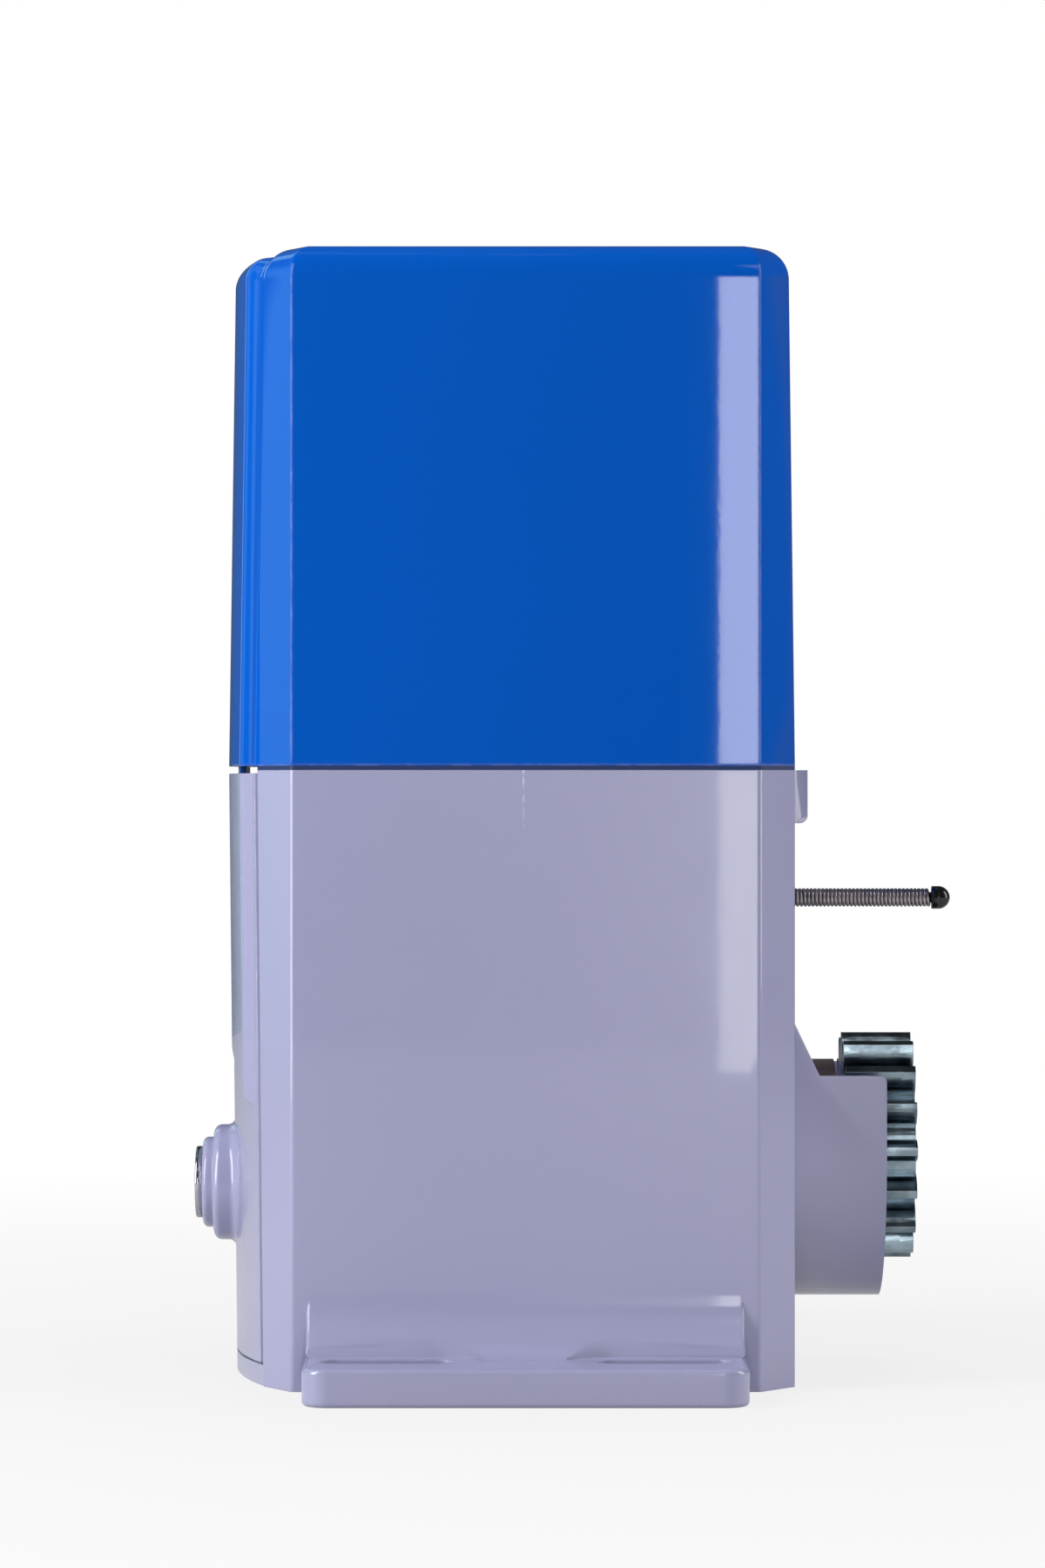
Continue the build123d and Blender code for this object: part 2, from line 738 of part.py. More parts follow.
def worm_wheel():
    """Wheel whose rim clears the worm, with leaning tooth gashes."""
    x0 = worm_x - wheel_width / 2
    wheel = rod_x(wheel_r, x0, x0 + wheel_width, output_y, output_z)
    wheel += rod_x(wheel_hub_r, wheel_hub_x0, wheel_hub_x1, output_y, output_z)
    gash_w = 2 * pi * wheel_r / wheel_teeth / 2
    gash = block(-wheel_width, wheel_width, -gash_w / 2, gash_w / 2,
                 wheel_r - wheel_tooth_depth, wheel_r + over)
    cuts = [rod_x(shaft_mid_r + run_fit, wheel_hub_x0 - over, wheel_hub_x1 + over, output_y, output_z)]
    for i in range(wheel_teeth):
        turn = Rot(360 / wheel_teeth * (i + 0.5), 0, 0) * Rot(0, 0, wheel_lead)
        cuts.append(Pos(worm_x, output_y, output_z) * turn * gash)
    wheel = wheel - cuts
    return wheel - dogs(dog_w + 2 * air, wheel_hub_x0 - over, wheel_hub_x0 + dog_len + air)


def dogs(width, x0, x1):
    """The radial teeth of the clutch, or the notches that take them."""
    tooth = block(x0, x1, -width / 2, width / 2, shaft_mid_r + air, wheel_hub_r + air)
    place = Pos(0, output_y, output_z)
    return [place * Rot(360 / dog_count * (i + 0.5), 0, 0) * tooth for i in range(dog_count)]


# Release clutch and lever

def clutch_sleeve():
    x0 = sleeve_x0()
    sleeve = rod_x(sleeve_r, x0, x0 + sleeve_len, output_y, output_z)
    teeth = [t & rod_x(sleeve_r, x0, x0 + 2 * sleeve_len, output_y, output_z)
             for t in dogs(dog_w, x0 + sleeve_len - over, x0 + sleeve_len + dog_len)]
    for tooth in teeth:
        sleeve += tooth
    bore = rod_x(shaft_mid_r + run_fit, x0 - over, x0 + 2 * sleeve_len, output_y, output_z)
    cross = rod_z(pin_r, output_z - 2 * sleeve_r, output_z + 2 * sleeve_r, sleeve_pin_x(), output_y)
    return sleeve - [bore, cross]


def clutch_pin():
    half = sleeve_r - over
    return rod_z(pin_r, output_z - half, output_z + half, sleeve_pin_x(), output_y)


def clutch_rod():
    rod = rod_x(rod_r, rod_end_x, sleeve_pin_x() + 2 * pin_r, output_y, output_z)
    return rod - rod_z(pin_r, output_z - sleeve_r, output_z + sleeve_r, sleeve_pin_x(), output_y)


def clutch_rod_nut():
    x1 = lever_hub_x0 - air
    nut = hex_x(rod_nut_half, x1 - rod_nut_t, x1, output_y, output_z)
    return nut - rod_x(rod_r, x1 - 2 * rod_nut_t, x1 + over, output_y, output_z)


def release_lever():
    """Lever that hangs down at rest, with a round grip at its end."""
    hub = rod_x(lever_hub_r, lever_hub_x0, chamber_x0 - air, output_y, output_z)
    hub += rod_x(lever_journal_r, chamber_x0 - over, front_bearing_x() - over, output_y, output_z)
    arm_x0 = lever_hub_x0
    arm = block(arm_x0, arm_x0 + lever_arm_t, output_y - lever_arm_half, output_y + lever_arm_half,
                output_z - lever_len, output_z)
    grip = rod_x(lever_grip_r, arm_x0 - lever_grip_len, arm_x0 + lever_arm_t, output_y, output_z - lever_len)
    grip = fillet(grip.edges().filter_by(GeomType.CIRCLE), lever_edge_r)
    lever = hub + arm + grip
    reach = front_bearing_x() + over
    return lever - rod_x(rod_r + run_fit, arm_x0 - lever_grip_len, reach, output_y, output_z)


# Motor

def tie_places():
    turn = 2 * pi / tie_count
    return [(worm_x + tie_circle_r * cos(turn * (i + 0.5)), worm_y + tie_circle_r * sin(turn * (i + 0.5)))
            for i in range(tie_count)]


def tie_holes(z0, z1):
    return [rod_z(tie_r + bolt_fit, z0 - over, z1 + over, x, y) for x, y in tie_places()]


def motor_stator():
    stator = rod_z(motor_r, motor_z0, motor_z1, worm_x, worm_y)
    stator = stator - rod_z(stator_bore_r, motor_z0 - over, motor_z1 + over, worm_x, worm_y)
    return stator - tie_holes(motor_z0, motor_z1)


def stator_windings():
    windings = []
    for z in (motor_z0 - winding_h, motor_z1):
        ring = rod_z(winding_r1, z, z + winding_h, worm_x, worm_y)
        ring = ring - rod_z(winding_r0, z - over, z + winding_h + over, worm_x, worm_y)
        free_z = z if z < motor_z0 else z + winding_h
        free = [e for e in ring.edges().filter_by(GeomType.CIRCLE) if abs(e.center().Z - free_z) < 0.1]
        windings.append(fillet(free, winding_edge_r))
    return windings


def bell_top_z():
    return motor_z1 + bell_h + bell_top_t


def top_bearing_z():
    return bell_top_z() - top_bearing[2] + bearing_lip_t


def motor_end_bell():
    z1 = bell_top_z()
    bell = rod_z(motor_r, motor_z1, z1, worm_x, worm_y)
    bell = fillet(bell.edges().filter_by(GeomType.CIRCLE).group_by(Axis.Z)[-1], bell_edge_r)
    bell += rod_z(top_bearing[1] + bearing_boss_t, z1 - bell_top_t, z1 + bell_top_t, worm_x, worm_y)
    hollow = rod_z(motor_ring_r, motor_z1 - over, z1 - bell_top_t, worm_x, worm_y)
    seat_z = top_bearing_z()
    seat = rod_z(top_bearing[1] + bearing_boss_t, seat_z - bearing_lip_t, z1, worm_x, worm_y)
    bore = rod_z(top_bearing[1], seat_z, z1 + bell_top_t + over, worm_x, worm_y)
    throat = rod_z(top_bearing[1] - bearing_lip, seat_z - bearing_lip, seat_z + over, worm_x, worm_y)
    return (bell - hollow + seat) - [bore, throat] - tie_holes(motor_z1, z1)


def motor_tie_bolts():
    bolts = []
    for x, y in tie_places():
        bolt = rod_z(tie_r, motor_z0 - tie_bite, bell_top_z(), x, y)
        bolts.append(bolt + hex_z(1.6 * tie_r, bell_top_z(), bell_top_z() + 1.4 * tie_r, x, y))
    return bolts


def worm_shaft():
    """Motor shaft with the worm cut on its lower end."""
    shaft = rod_z(low_bearing[0] - run_fit, low_bearing_z(), output_z, worm_x, worm_y)
    shaft += rod_z(worm_r, output_z - worm_len / 2, output_z + worm_len / 2, worm_x, worm_y)
    shaft += rod_z(mid_bearing[0] - run_fit, output_z, top_bearing_z() - bearing_lip_t / 2, worm_x, worm_y)
    return shaft + rod_z(top_bearing[0] - run_fit, output_z, shaft_end_z, worm_x, worm_y)


def rotor_core():
    core = rod_z(rotor_r, motor_z0, motor_z1, worm_x, worm_y)
    core += rod_z(rotor_r - rotor_ring, motor_z0 - rotor_ring, motor_z1 + rotor_ring, worm_x, worm_y)
    reach = rotor_ring + over
    return core - rod_z(mid_bearing[0] - run_fit, motor_z0 - reach, motor_z1 + reach, worm_x, worm_y)


def cooling_fan():
    hub_r = top_bearing[0] + 2.5 * fan_blade_t
    fan = rod_z(hub_r, fan_z0, fan_z0 + fan_h, worm_x, worm_y)
    fan += rod_z(fan_r, fan_z0, fan_z0 + fan_plate_t, worm_x, worm_y)
    blade = block(hub_r - fan_blade_t, fan_r - over, -fan_blade_t / 2, fan_blade_t / 2, 0, fan_h)
    for i in range(fan_blades):
        fan += Pos(worm_x, worm_y, fan_z0) * Rot(0, 0, 360 / fan_blades * i) * blade
    return fan - rod_z(top_bearing[0] - run_fit, fan_z0 - over, fan_z0 + fan_h + over, worm_x, worm_y)


# Limit lever

def limit_switch_body():
    """Box behind the rear wall's window, open towards it for the lever's swing."""
    box = block(limit_box_x0, chamber_x1, limit_y - limit_box_half_y, limit_y + limit_box_half_y,
                limit_z - limit_box_half_z, limit_z + limit_box_half_z)
    box = fillet(box.edges().filter_by(Axis.Z).group_by(Axis.X)[0], limit_box_edge_r)
    half_h = limit_hub_h / 2 + air
    hub_room = rod_z(limit_hub_r + 5 * air, limit_z - half_h, limit_z + half_h, limit_x, limit_y)
    mouth = block(limit_x, chamber_x1 + over, limit_y - window_half_y, limit_y + window_half_y,
                  limit_z - half_h, limit_z + half_h)
    return box - [hub_room, mouth, limit_pivot_pin()]


def limit_pivot_pin():
    half = limit_box_half_z - limit_pin_in
    return rod_z(limit_pin_r, limit_z - half, limit_z + half, limit_x, limit_y)


def limit_lever_hub():
    hub = rod_z(limit_hub_r, limit_z - limit_hub_h / 2, limit_z + limit_hub_h / 2, limit_x, limit_y)
    hub += rod_x(spring_r, limit_x, spring_x0, limit_y, limit_z)
    hub += rod_x(spring_r - spring_wire - run_fit, limit_x, spring_x0 + limit_core_len, limit_y, limit_z)
    return hub - rod_z(limit_pin_r + run_fit, limit_z - limit_hub_h, limit_z + limit_hub_h, limit_x, limit_y)


def limit_spring():
    spring = rod_x(spring_r, spring_x0, spring_x1, limit_y, limit_z)
    return spring - rod_x(spring_r - spring_wire, spring_x0 - over, spring_x1 + over, limit_y, limit_z)


def limit_cap():
    """Black end cap: a short cylinder with a domed nose and a stem in the spring."""
    nose_x = cap_x1 - cap_r
    cap = rod_x(cap_r, spring_x1, nose_x, limit_y, limit_z)
    dome = Pos(nose_x, limit_y, limit_z) * Sphere(cap_r)
    cap += dome & block(nose_x, cap_x1, limit_y - cap_r, limit_y + cap_r, limit_z - cap_r, limit_z + cap_r)
    stem = rod_x(spring_r - spring_wire - run_fit, spring_x1 - cap_stem, spring_x1 + over, limit_y, limit_z)
    return cap + stem


# Top cover

def cover_block(inset):
    z0 = cover_bottom if not inset else cover_bottom - over
    z1 = cover_top - inset
    low = plan_points(front_top_x, back_x, side_y)
    high = plan_points(front_top_x + cover_front_draft, back_x - cover_back_draft, side_y - cover_side_draft)
    faces = []
    for z, points in ((z0, low), (z1, high)):
        face = make_face(Polyline(*points, close=True))
        if inset:
            face = offset(face, -inset, kind=Kind.INTERSECTION)
        faces.append(Pos(0, 0, z) * face)
    solid = loft(faces, ruled=True)
    return fillet(solid.edges().group_by(Axis.Z)[-1], cover_top_r - inset)


def cover_bulge(inset):
    z0 = cover_bottom if not inset else cover_bottom - over
    z1 = cover_top - cover_bulge_drop - inset
    place = Pos(front_top_x, 0, z0)
    back_tilt = cover_front_draft / (cover_top - cover_bottom)
    along = (back_tilt, 0, 1)
    flank = bow_face(bow_half - cover_bulge_in, bow_depth, bulge_root)
    if inset:
        flank = offset(flank, -inset, kind=Kind.INTERSECTION)
    field = raised_face(bulge_root / 2, inset)
    parts = []
    for face, drop in ((flank, cover_flank_drop), (field, 0.0)):
        solid = extrude(place * face, z1 - z0 - drop, dir=along)
        front = [e for e in solid.edges().group_by(Axis.Z)[-1] if e.center().X < front_top_x]
        parts.append(fillet(front, cover_bulge_r - inset))
    return parts[0] + parts[1]


def top_cover():
    outer = cover_block(0) + cover_bulge(0)
    inner = cover_block(cover_wall) + cover_bulge(cover_wall)
    cover = outer - inner
    tongue_x = front_top_x - raised_mid_depth + door_wall + 2 * air
    tongue = block(tongue_x, tongue_x + tongue_t, -tongue_half_y, tongue_half_y,
                   cover_bottom - tongue_drop, cover_bottom + tongue_drop)
    root = block(tongue_x - cover_wall / 2, tongue_x + tongue_t, -tongue_half_y, tongue_half_y,
                 cover_bottom, cover_bottom + tongue_drop)
    return cover + tongue + root


def cover_gasket():
    rim = body_prism(body_top, cover_bottom, 0) - body_prism(body_top - over, cover_bottom + over, wall)
    half = door_half_y + air
    return rim - front_frame() * block(-side_x, rebate, -half, half, body_top - over, 2 * body_top)


# Release door, its hinge and its lock

def door_slab(z0, z1, inset=0.0):
    """Bowed slab of the door in the front frame, with the raised field above the arch."""
    behind = rebate - air if not inset else rebate + wall
    face = bow_face(door_half_y, bow_depth, behind)
    field = raised_face(over / 2)
    if inset:
        face = offset(face, -inset, kind=Kind.INTERSECTION)
        field = raised_face(wall, inset)
    slab = Pos(0, 0, z0) * extrude(face, z1 - z0)
    arch_z = arch_crown_z - arch_r
    low_z = arch_z + sqrt(arch_r ** 2 - raised_half ** 2) - 2 * raised_edge_depth
    field = Pos(0, 0, low_z) * extrude(field, z1 - low_z)
    return slab + (field - rod_x(arch_r + inset, -side_x, side_x, 0, arch_z))


def door_panel():
    z0 = sill_top + door_gap
    outer = door_slab(z0, door_top)
    inner = door_slab(z0 + door_wall, door_top - door_wall, door_wall)
    panel = outer - inner
    notch_half = tongue_half_y + tongue_side
    notch = block(-bow_depth - over, rebate, -notch_half, notch_half,
                  door_top - 2 * door_wall, door_top + over)
    notch = notch & Pos(0, 0, door_top / 2) * extrude(raised_face(wall, door_wall), body_top)
    panel = front_frame() * (panel - notch)
    boss_x1 = lock_inner_x()
    panel += rod_x(lock_flange_r, lock_flange_x, boss_x1 - lock_nut_t - door_wall, 0, lock_z)
    panel += rod_x(lock_neck_r, lock_neck_x, boss_x1, 0, lock_z)
    round_edges = panel.edges().filter_by(GeomType.CIRCLE)
    for radius, x, edge_r in ((lock_flange_r, lock_flange_x, lock_flange_edge_r),
                              (lock_neck_r, lock_neck_x, lock_neck_edge_r)):
        rim = [e for e in round_edges if abs(e.radius - radius) < 0.1 and abs(e.center().X - x) < 0.1]
        panel = fillet(rim, edge_r)
        round_edges = panel.edges().filter_by(GeomType.CIRCLE)
    root = [e for e in panel.edges().filter_by(GeomType.BSPLINE) if around_lock(e)]
    panel = fillet(min(root, key=lambda e: e.center().X), lock_root_r)
    for z in hinge_places():
        panel += door_knuckle(z)
    panel = panel - [hinge_hole(z) for z in hinge_places()]
    return panel - rod_x(lock_barrel_r + bolt_fit, lock_neck_x - over, 0, 0, lock_z)


def around_lock(edge):
    """Whether the edge runs on the lock flange's cylinder."""
    points = [edge.position_at(t) for t in (0.0, 0.3, 0.6)]
    return all(abs(sqrt(q.Y ** 2 + (q.Z - lock_z) ** 2) - lock_flange_r) < 0.02 for q in points)


def lock_inner_x():
    return front_x - lock_z * tan(lean) - lock_skin


def hinge_places():
    return (hinge_low_z, hinge_high_z)


def hinge_xy():
    """Pin centre in the front frame, out along the bisector of the body's front corner."""
    crease_y = side_y - (-side_x - front_x) * front_chamfer_slope
    turn = radians(hinge_turn)
    return (-hinge_out * cos(turn), crease_y - hinge_back + hinge_out * sin(turn))


def hinge_hole(z):
    x, y = hinge_xy()
    z0 = z - hinge_leaf - over
    z1 = z + 2 * hinge_leaf + over
    return front_frame() * rod_z(hinge_pin_r + run_fit, z0, z1, x, y)


def knuckle(z0, z1, reach_x, reach_y):
    """Barrel round the pin with a leaf that reaches towards its carrier."""
    x, y = hinge_xy()
    barrel = rod_z(hinge_barrel_r, z0, z1, x, y)
    leaf_w = hinge_barrel_r
    length = sqrt(reach_x ** 2 + reach_y ** 2)
    leaf = block(0, length, -leaf_w / 2, leaf_w / 2, z0, z1)
    turn = Rot(0, 0, Vector(reach_x, reach_y).get_signed_angle(Vector(1, 0, 0), Vector(0, 0, -1)))
    return front_frame() * (barrel + Pos(x, y, 0) * turn * leaf)


def door_knuckle(z):
    pin_y = hinge_xy()[1]
    return knuckle(z, z + hinge_leaf, hinge_barrel_r / 2, door_half_y - pin_y - hinge_door_in)


def body_knuckles(z):
    reach = hinge_out + hinge_body_in
    lower = knuckle(z - hinge_leaf, z - air / 2, reach, 0.0)
    upper = knuckle(z + hinge_leaf + air / 2, z + 2 * hinge_leaf, reach, 0.0)
    return [lower, upper]


def door_hinge_pins():
    x, y = hinge_xy()
    pins = []
    for z in hinge_places():
        pin = rod_z(hinge_pin_r, z - hinge_leaf, z + 2 * hinge_leaf, x, y)
        head_z = z + 2 * hinge_leaf
        pin += rod_z(hinge_head_r, head_z, head_z + hinge_head_t, x, y)
        pins.append(front_frame() * pin)
    return pins


def lock_cylinder():
    """Barrel with its ring on the boss's face; the plug turns inside it."""
    x1 = lock_inner_x() + lock_nut_t + over
    lock = rod_x(lock_ring_r, lock_face_x, lock_neck_x, 0, lock_z)
    lock = fillet(lock.edges().filter_by(GeomType.CIRCLE).group_by(Axis.X)[0], lock_ring_edge_r)
    lock += rod_x(lock_barrel_r, lock_neck_x, x1, 0, lock_z)
    return lock - rod_x(lock_plug_r + run_fit, lock_face_x - over, x1 + over, 0, lock_z)


def lock_nut():
    x0 = lock_inner_x()
    nut = hex_x(lock_nut_half, x0, x0 + lock_nut_t, 0, lock_z)
    return nut - rod_x(lock_barrel_r, x0 - over, x0 + lock_nut_t + over, 0, lock_z)


def cam_x0():
    """The cam lies behind the front wall when it is turned to lock."""
    return front_x - lock_z * tan(lean) + wall + cam_gap


def lock_plug():
    plug = rod_x(lock_plug_r, lock_face_x, cam_x0(), 0, lock_z)
    plug += rod_x(cam_pin_r, cam_x0() - over, cam_x0() + cam_t, 0, lock_z)
    slot = block(lock_face_x - over, lock_face_x + key_slot_depth, -key_slot_w / 2, key_slot_w / 2,
                 lock_z - key_slot_h / 2, lock_z + key_slot_h / 2)
    return plug - slot


def lock_cam():
    cam = block(cam_x0(), cam_x0() + cam_t, -cam_w / 2, cam_w / 2, lock_z, lock_z + cam_len)
    cam += rod_x(cam_w / 2, cam_x0(), cam_x0() + cam_t, 0, lock_z)
    return cam - rod_x(cam_pin_r, cam_x0() - over, cam_x0() + cam_t + over, 0, lock_z)


def lock_cam_screw():
    x0 = cam_x0() + cam_t
    screw = rod_x(cam_screw_r, x0, x0 + cam_screw_t, 0, lock_z)
    half = cam_screw_slot / 2
    return screw - block(x0 + cam_screw_t - half, x0 + cam_screw_t + over, -half, half,
                         lock_z - lock_plug_r, lock_z + lock_plug_r)


# Electronics

def electronics_bracket():
    """Bent sheet: a foot on the lid, an upright for the board, a shelf for the transformer."""
    x1 = bracket_x + bracket_t
    sheet = block(bracket_x, x1, -bracket_half_y, bracket_half_y, lid_z1, bracket_top)
    gap_y0 = worm_y - 0.6 * motor_r
    gap_y1 = bracket_half_y - bracket_side
    sheet = sheet - block(bracket_x - over, x1 + over, gap_y0, gap_y1, lid_z1 - over, lid_z1 + bracket_gap_h)
    foot_y0 = chamber_y0 + 2 * lid_boss_r + over
    sheet += block(bracket_x, x1 + bracket_foot, foot_y0, gap_y0 - bracket_t, lid_z1, lid_z1 + bracket_t)
    sheet += block(bracket_x, shelf_x1, -shelf_half_y, shelf_half_y, shelf_z - bracket_t, shelf_z)
    for y in (-shelf_half_y, shelf_half_y - bracket_t):
        reach = shelf_x1 - x1
        corners = ((0, 0), (reach, 0), (reach, -shelf_rib_end), (0, -shelf_rib_h))
        rib = extrude(make_face(Polyline(*corners, close=True)), bracket_t)
        sheet += Pos(x1, y + bracket_t, shelf_z) * Rot(90, 0, 0) * rib
    holes = [rod_x(board_hole_r, bracket_x - over, x1 + over, y, z) for y, z in board_screw_places()]
    holes += [rod_z(bracket_screw_r + bolt_fit, lid_z1 - over, lid_z1 + bracket_t + over, x, y)
              for x, y in bracket_screw_places()]
    return sheet - holes


def bracket_screw_places():
    x = bracket_x + bracket_t + bracket_foot / 2
    return [(x, chamber_y0 + 3 * lid_boss_r), (x, worm_y - motor_r / 2 - 2 * lid_boss_r)]


def bracket_screws():
    screws = []
    for x, y in bracket_screw_places():
        z = lid_z1 + bracket_t
        shank = rod_z(bracket_screw_r, lid_z0 + over, z, x, y)
        screws.append(shank + rod_z(1.8 * bracket_screw_r, z, z + 1.2 * bracket_screw_r, x, y))
    return screws


def board_screw_places():
    y = board_half_y - board_hole_in
    return [(s * y, z) for s in (-1, 1) for z in (board_z0 + board_hole_in, board_z1 - board_hole_in)]


def board_x1():
    return bracket_x - standoff


def circuit_board():
    x0 = board_x1() - board_t
    board = block(x0, board_x1(), -board_half_y, board_half_y, board_z0, board_z1)
    return board - [rod_x(board_hole_r, x0 - over, board_x1() + over, y, z) for y, z in board_screw_places()]


def board_spacers():
    spacers = []
    for y, z in board_screw_places():
        hole = rod_x(board_hole_r, board_x1() - over, bracket_x + over, y, z)
        spacers.append(rod_x(spacer_r, board_x1(), bracket_x, y, z) - hole)
    return spacers


def board_screws():
    x0 = board_x1() - board_t
    screws = []
    for y, z in board_screw_places():
        shank = rod_x(board_screw_r, x0, bracket_x + bracket_t, y, z)
        screws.append(shank + rod_x(2 * board_screw_r, x0 - 2.0, x0, y, z))
    return screws


def terminal_blocks():
    """Rows of screw terminals along the board's lower edge, each with its wire mouths."""
    x1 = board_x1() - board_t
    x0 = x1 - terminal_h
    z0 = board_z0 + 2 * board_hole_in
    mouth = terminal_pitch / 3
    rows = []
    for y0, ways in terminal_rows:
        row = block(x0, x1, y0, y0 + ways * terminal_pitch, z0, z0 + terminal_h)
        for i in range(ways):
            y = y0 + terminal_pitch * (i + 0.5)
            row = row - block(x1 - terminal_h / 2, x1 - bracket_t, y - mouth, y + mouth,
                              z0 - over, z0 + terminal_pitch)
            row = row - rod_x(board_hole_r, x0 - over, x0 + terminal_h / 3, y, z0 + 0.6 * terminal_h)
        rows.append(row)
    return rows


def relays():
    depth, width, height = relay_size
    x1 = board_x1() - board_t
    z0 = board_z0 + relay_up * board_h
    cases = [block(x1 - depth, x1, y, y + width, z0, z0 + height) for y in relay_ys]
    return [fillet(case.edges().group_by(Axis.X)[0], relay_edge_r) for case in cases]


def board_fuse():
    """Glass tube held across two clips."""
    x1 = board_x1() - board_t
    z0 = board_z0 + fuse_up * board_h
    z1 = z0 + fuse_len
    fuse = rod_z(fuse_r, z0, z1, x1 - fuse_r - 2.0, fuse_y)
    for z in (z0, z1 - fuse_clip):
        fuse += block(x1 - 2 * fuse_r - 2.0, x1, fuse_y - fuse_r, fuse_y + fuse_r, z, z + fuse_clip)
    return fuse


def controller_chip():
    depth, width, height = chip_size
    x1 = board_x1() - board_t
    z0 = board_z0 + chip_up * board_h
    chip = block(x1 - depth, x1, -width / 2, width / 2, z0, z0 + height)
    pin_out = 1.5
    pin_half = 0.4
    for i in range(chip_pin_count):
        y = (i + 0.5) * width / chip_pin_count - width / 2
        chip += block(x1 - depth / 3, x1, y - pin_half, y + pin_half, z0 - pin_out, z0 + height + pin_out)
    return chip


def core_x0():
    return bracket_x + bracket_t + core_gap


def core_middle():
    """The core's middle limb, which runs through the coil."""
    z = shelf_z + core_h / 2
    half = 0.15 * core_h
    return block(core_x0(), core_x0() + core_w, -core_d / 2, core_d / 2, z - half, z + half)


def transformer_core():
    x0 = core_x0()
    limb_h = 0.19 * core_h
    core = block(x0, x0 + core_w, -core_d / 2, core_d / 2, shelf_z, shelf_z + core_h)
    window = block(x0 - over, x0 + core_w + over, -core_d / 2 + core_limb, core_d / 2 - core_limb,
                   shelf_z + limb_h, shelf_z + core_h - limb_h)
    return core - window + core_middle()


def transformer_coil():
    x0 = core_x0()
    side = core_d / 2 - core_limb - over
    edge = 0.21 * core_h
    coil = block(x0 - coil_out, x0 + core_w + coil_out, -side, side, shelf_z + edge, shelf_z + core_h - edge)
    coil = fillet(coil.edges().filter_by(Axis.Z), coil_edge_r)
    return coil - core_middle()


def run_capacitor():
    top = lid_z1 + capacitor_h
    can = rod_z(capacitor_r, lid_z1, top, capacitor_x, capacitor_y)
    can = fillet(can.edges().filter_by(GeomType.CIRCLE).group_by(Axis.Z)[-1], can_edge_r)
    thick, width, height = capacitor_tab
    for y in (capacitor_y - 0.8 * width, capacitor_y + 0.8 * width):
        can += block(capacitor_x - thick / 2, capacitor_x + thick / 2, y - width / 2, y + width / 2,
                     top - over, top + height)
    return can


def capacitor_clip():
    top = lid_z1 + clip_h
    clip = rod_z(capacitor_r + clip_t, lid_z1, top, capacitor_x, capacitor_y)
    return clip - rod_z(capacitor_r + bolt_fit, lid_z1 - over, top + over, capacitor_x, capacitor_y)


nodes = {}
nodes["body_casting"] = body_casting()
nodes["output_bearing_front"] = ball_bearing(big_bearing, front_bearing_x(), output_y, output_z, True)
nodes["output_bearing_rear"] = ball_bearing(big_bearing, rear_bearing_x(), output_y, output_z, True)
nodes["output_oil_seal"] = oil_seal()
nodes["worm_bearing_lower"] = ball_bearing(low_bearing, worm_x, worm_y, low_bearing_z())
nodes["worm_bearing_upper"] = ball_bearing(mid_bearing, worm_x, worm_y, upper_bearing_z())
nodes["motor_bearing_top"] = ball_bearing(top_bearing, worm_x, worm_y, top_bearing_z())
nodes["gearbox_lid_gasket"] = gearbox_lid_gasket()
nodes["gearbox_lid"] = gearbox_lid()
nodes["gearbox_lid_screws"] = gearbox_lid_screws()
nodes["motor_stator"] = motor_stator()
nodes["stator_windings"] = stator_windings()
nodes["motor_end_bell"] = motor_end_bell()
nodes["motor_tie_bolts"] = motor_tie_bolts()
nodes["worm_shaft"] = worm_shaft()
nodes["rotor_core"] = rotor_core()
nodes["cooling_fan"] = cooling_fan()
nodes["output_shaft"] = output_shaft()
nodes["pinion"] = pinion()
nodes["pinion_key"] = pinion_key()
nodes["pinion_washer"] = pinion_washer()
nodes["pinion_bolt"] = pinion_bolt()
nodes["worm_wheel"] = worm_wheel()
nodes["clutch_sleeve"] = clutch_sleeve()
nodes["clutch_pin"] = clutch_pin()
nodes["clutch_rod"] = clutch_rod()
nodes["clutch_rod_nut"] = clutch_rod_nut()
nodes["release_lever"] = release_lever()
nodes["limit_switch_body"] = limit_switch_body()
nodes["limit_pivot_pin"] = limit_pivot_pin()
nodes["limit_lever_hub"] = limit_lever_hub()
nodes["limit_spring"] = limit_spring()
nodes["limit_cap"] = limit_cap()
nodes["cover_gasket"] = cover_gasket()
nodes["top_cover"] = top_cover()
nodes["door_panel"] = door_panel()
nodes["door_hinge_pins"] = door_hinge_pins()
nodes["lock_cylinder"] = lock_cylinder()
nodes["lock_nut"] = lock_nut()
nodes["lock_plug"] = lock_plug()
nodes["lock_cam"] = lock_cam()
nodes["lock_cam_screw"] = lock_cam_screw()
nodes["electronics_bracket"] = electronics_bracket()
nodes["bracket_screws"] = bracket_screws()
nodes["circuit_board"] = circuit_board()
nodes["board_spacers"] = board_spacers()
nodes["board_screws"] = board_screws()
nodes["terminal_blocks"] = terminal_blocks()
nodes["relays"] = relays()
nodes["board_fuse"] = board_fuse()
nodes["controller_chip"] = controller_chip()
nodes["transformer_core"] = transformer_core()
nodes["transformer_coil"] = transformer_coil()
nodes["run_capacitor"] = run_capacitor()
nodes["capacitor_clip"] = capacitor_clip()

if __name__ == "__main__":
    for name, shape in nodes.items():
        if isinstance(shape, list):
            shape = Compound(children=shape)
        export_step(shape, "parts/" + name + ".step")
        print(name, round(shape.volume))
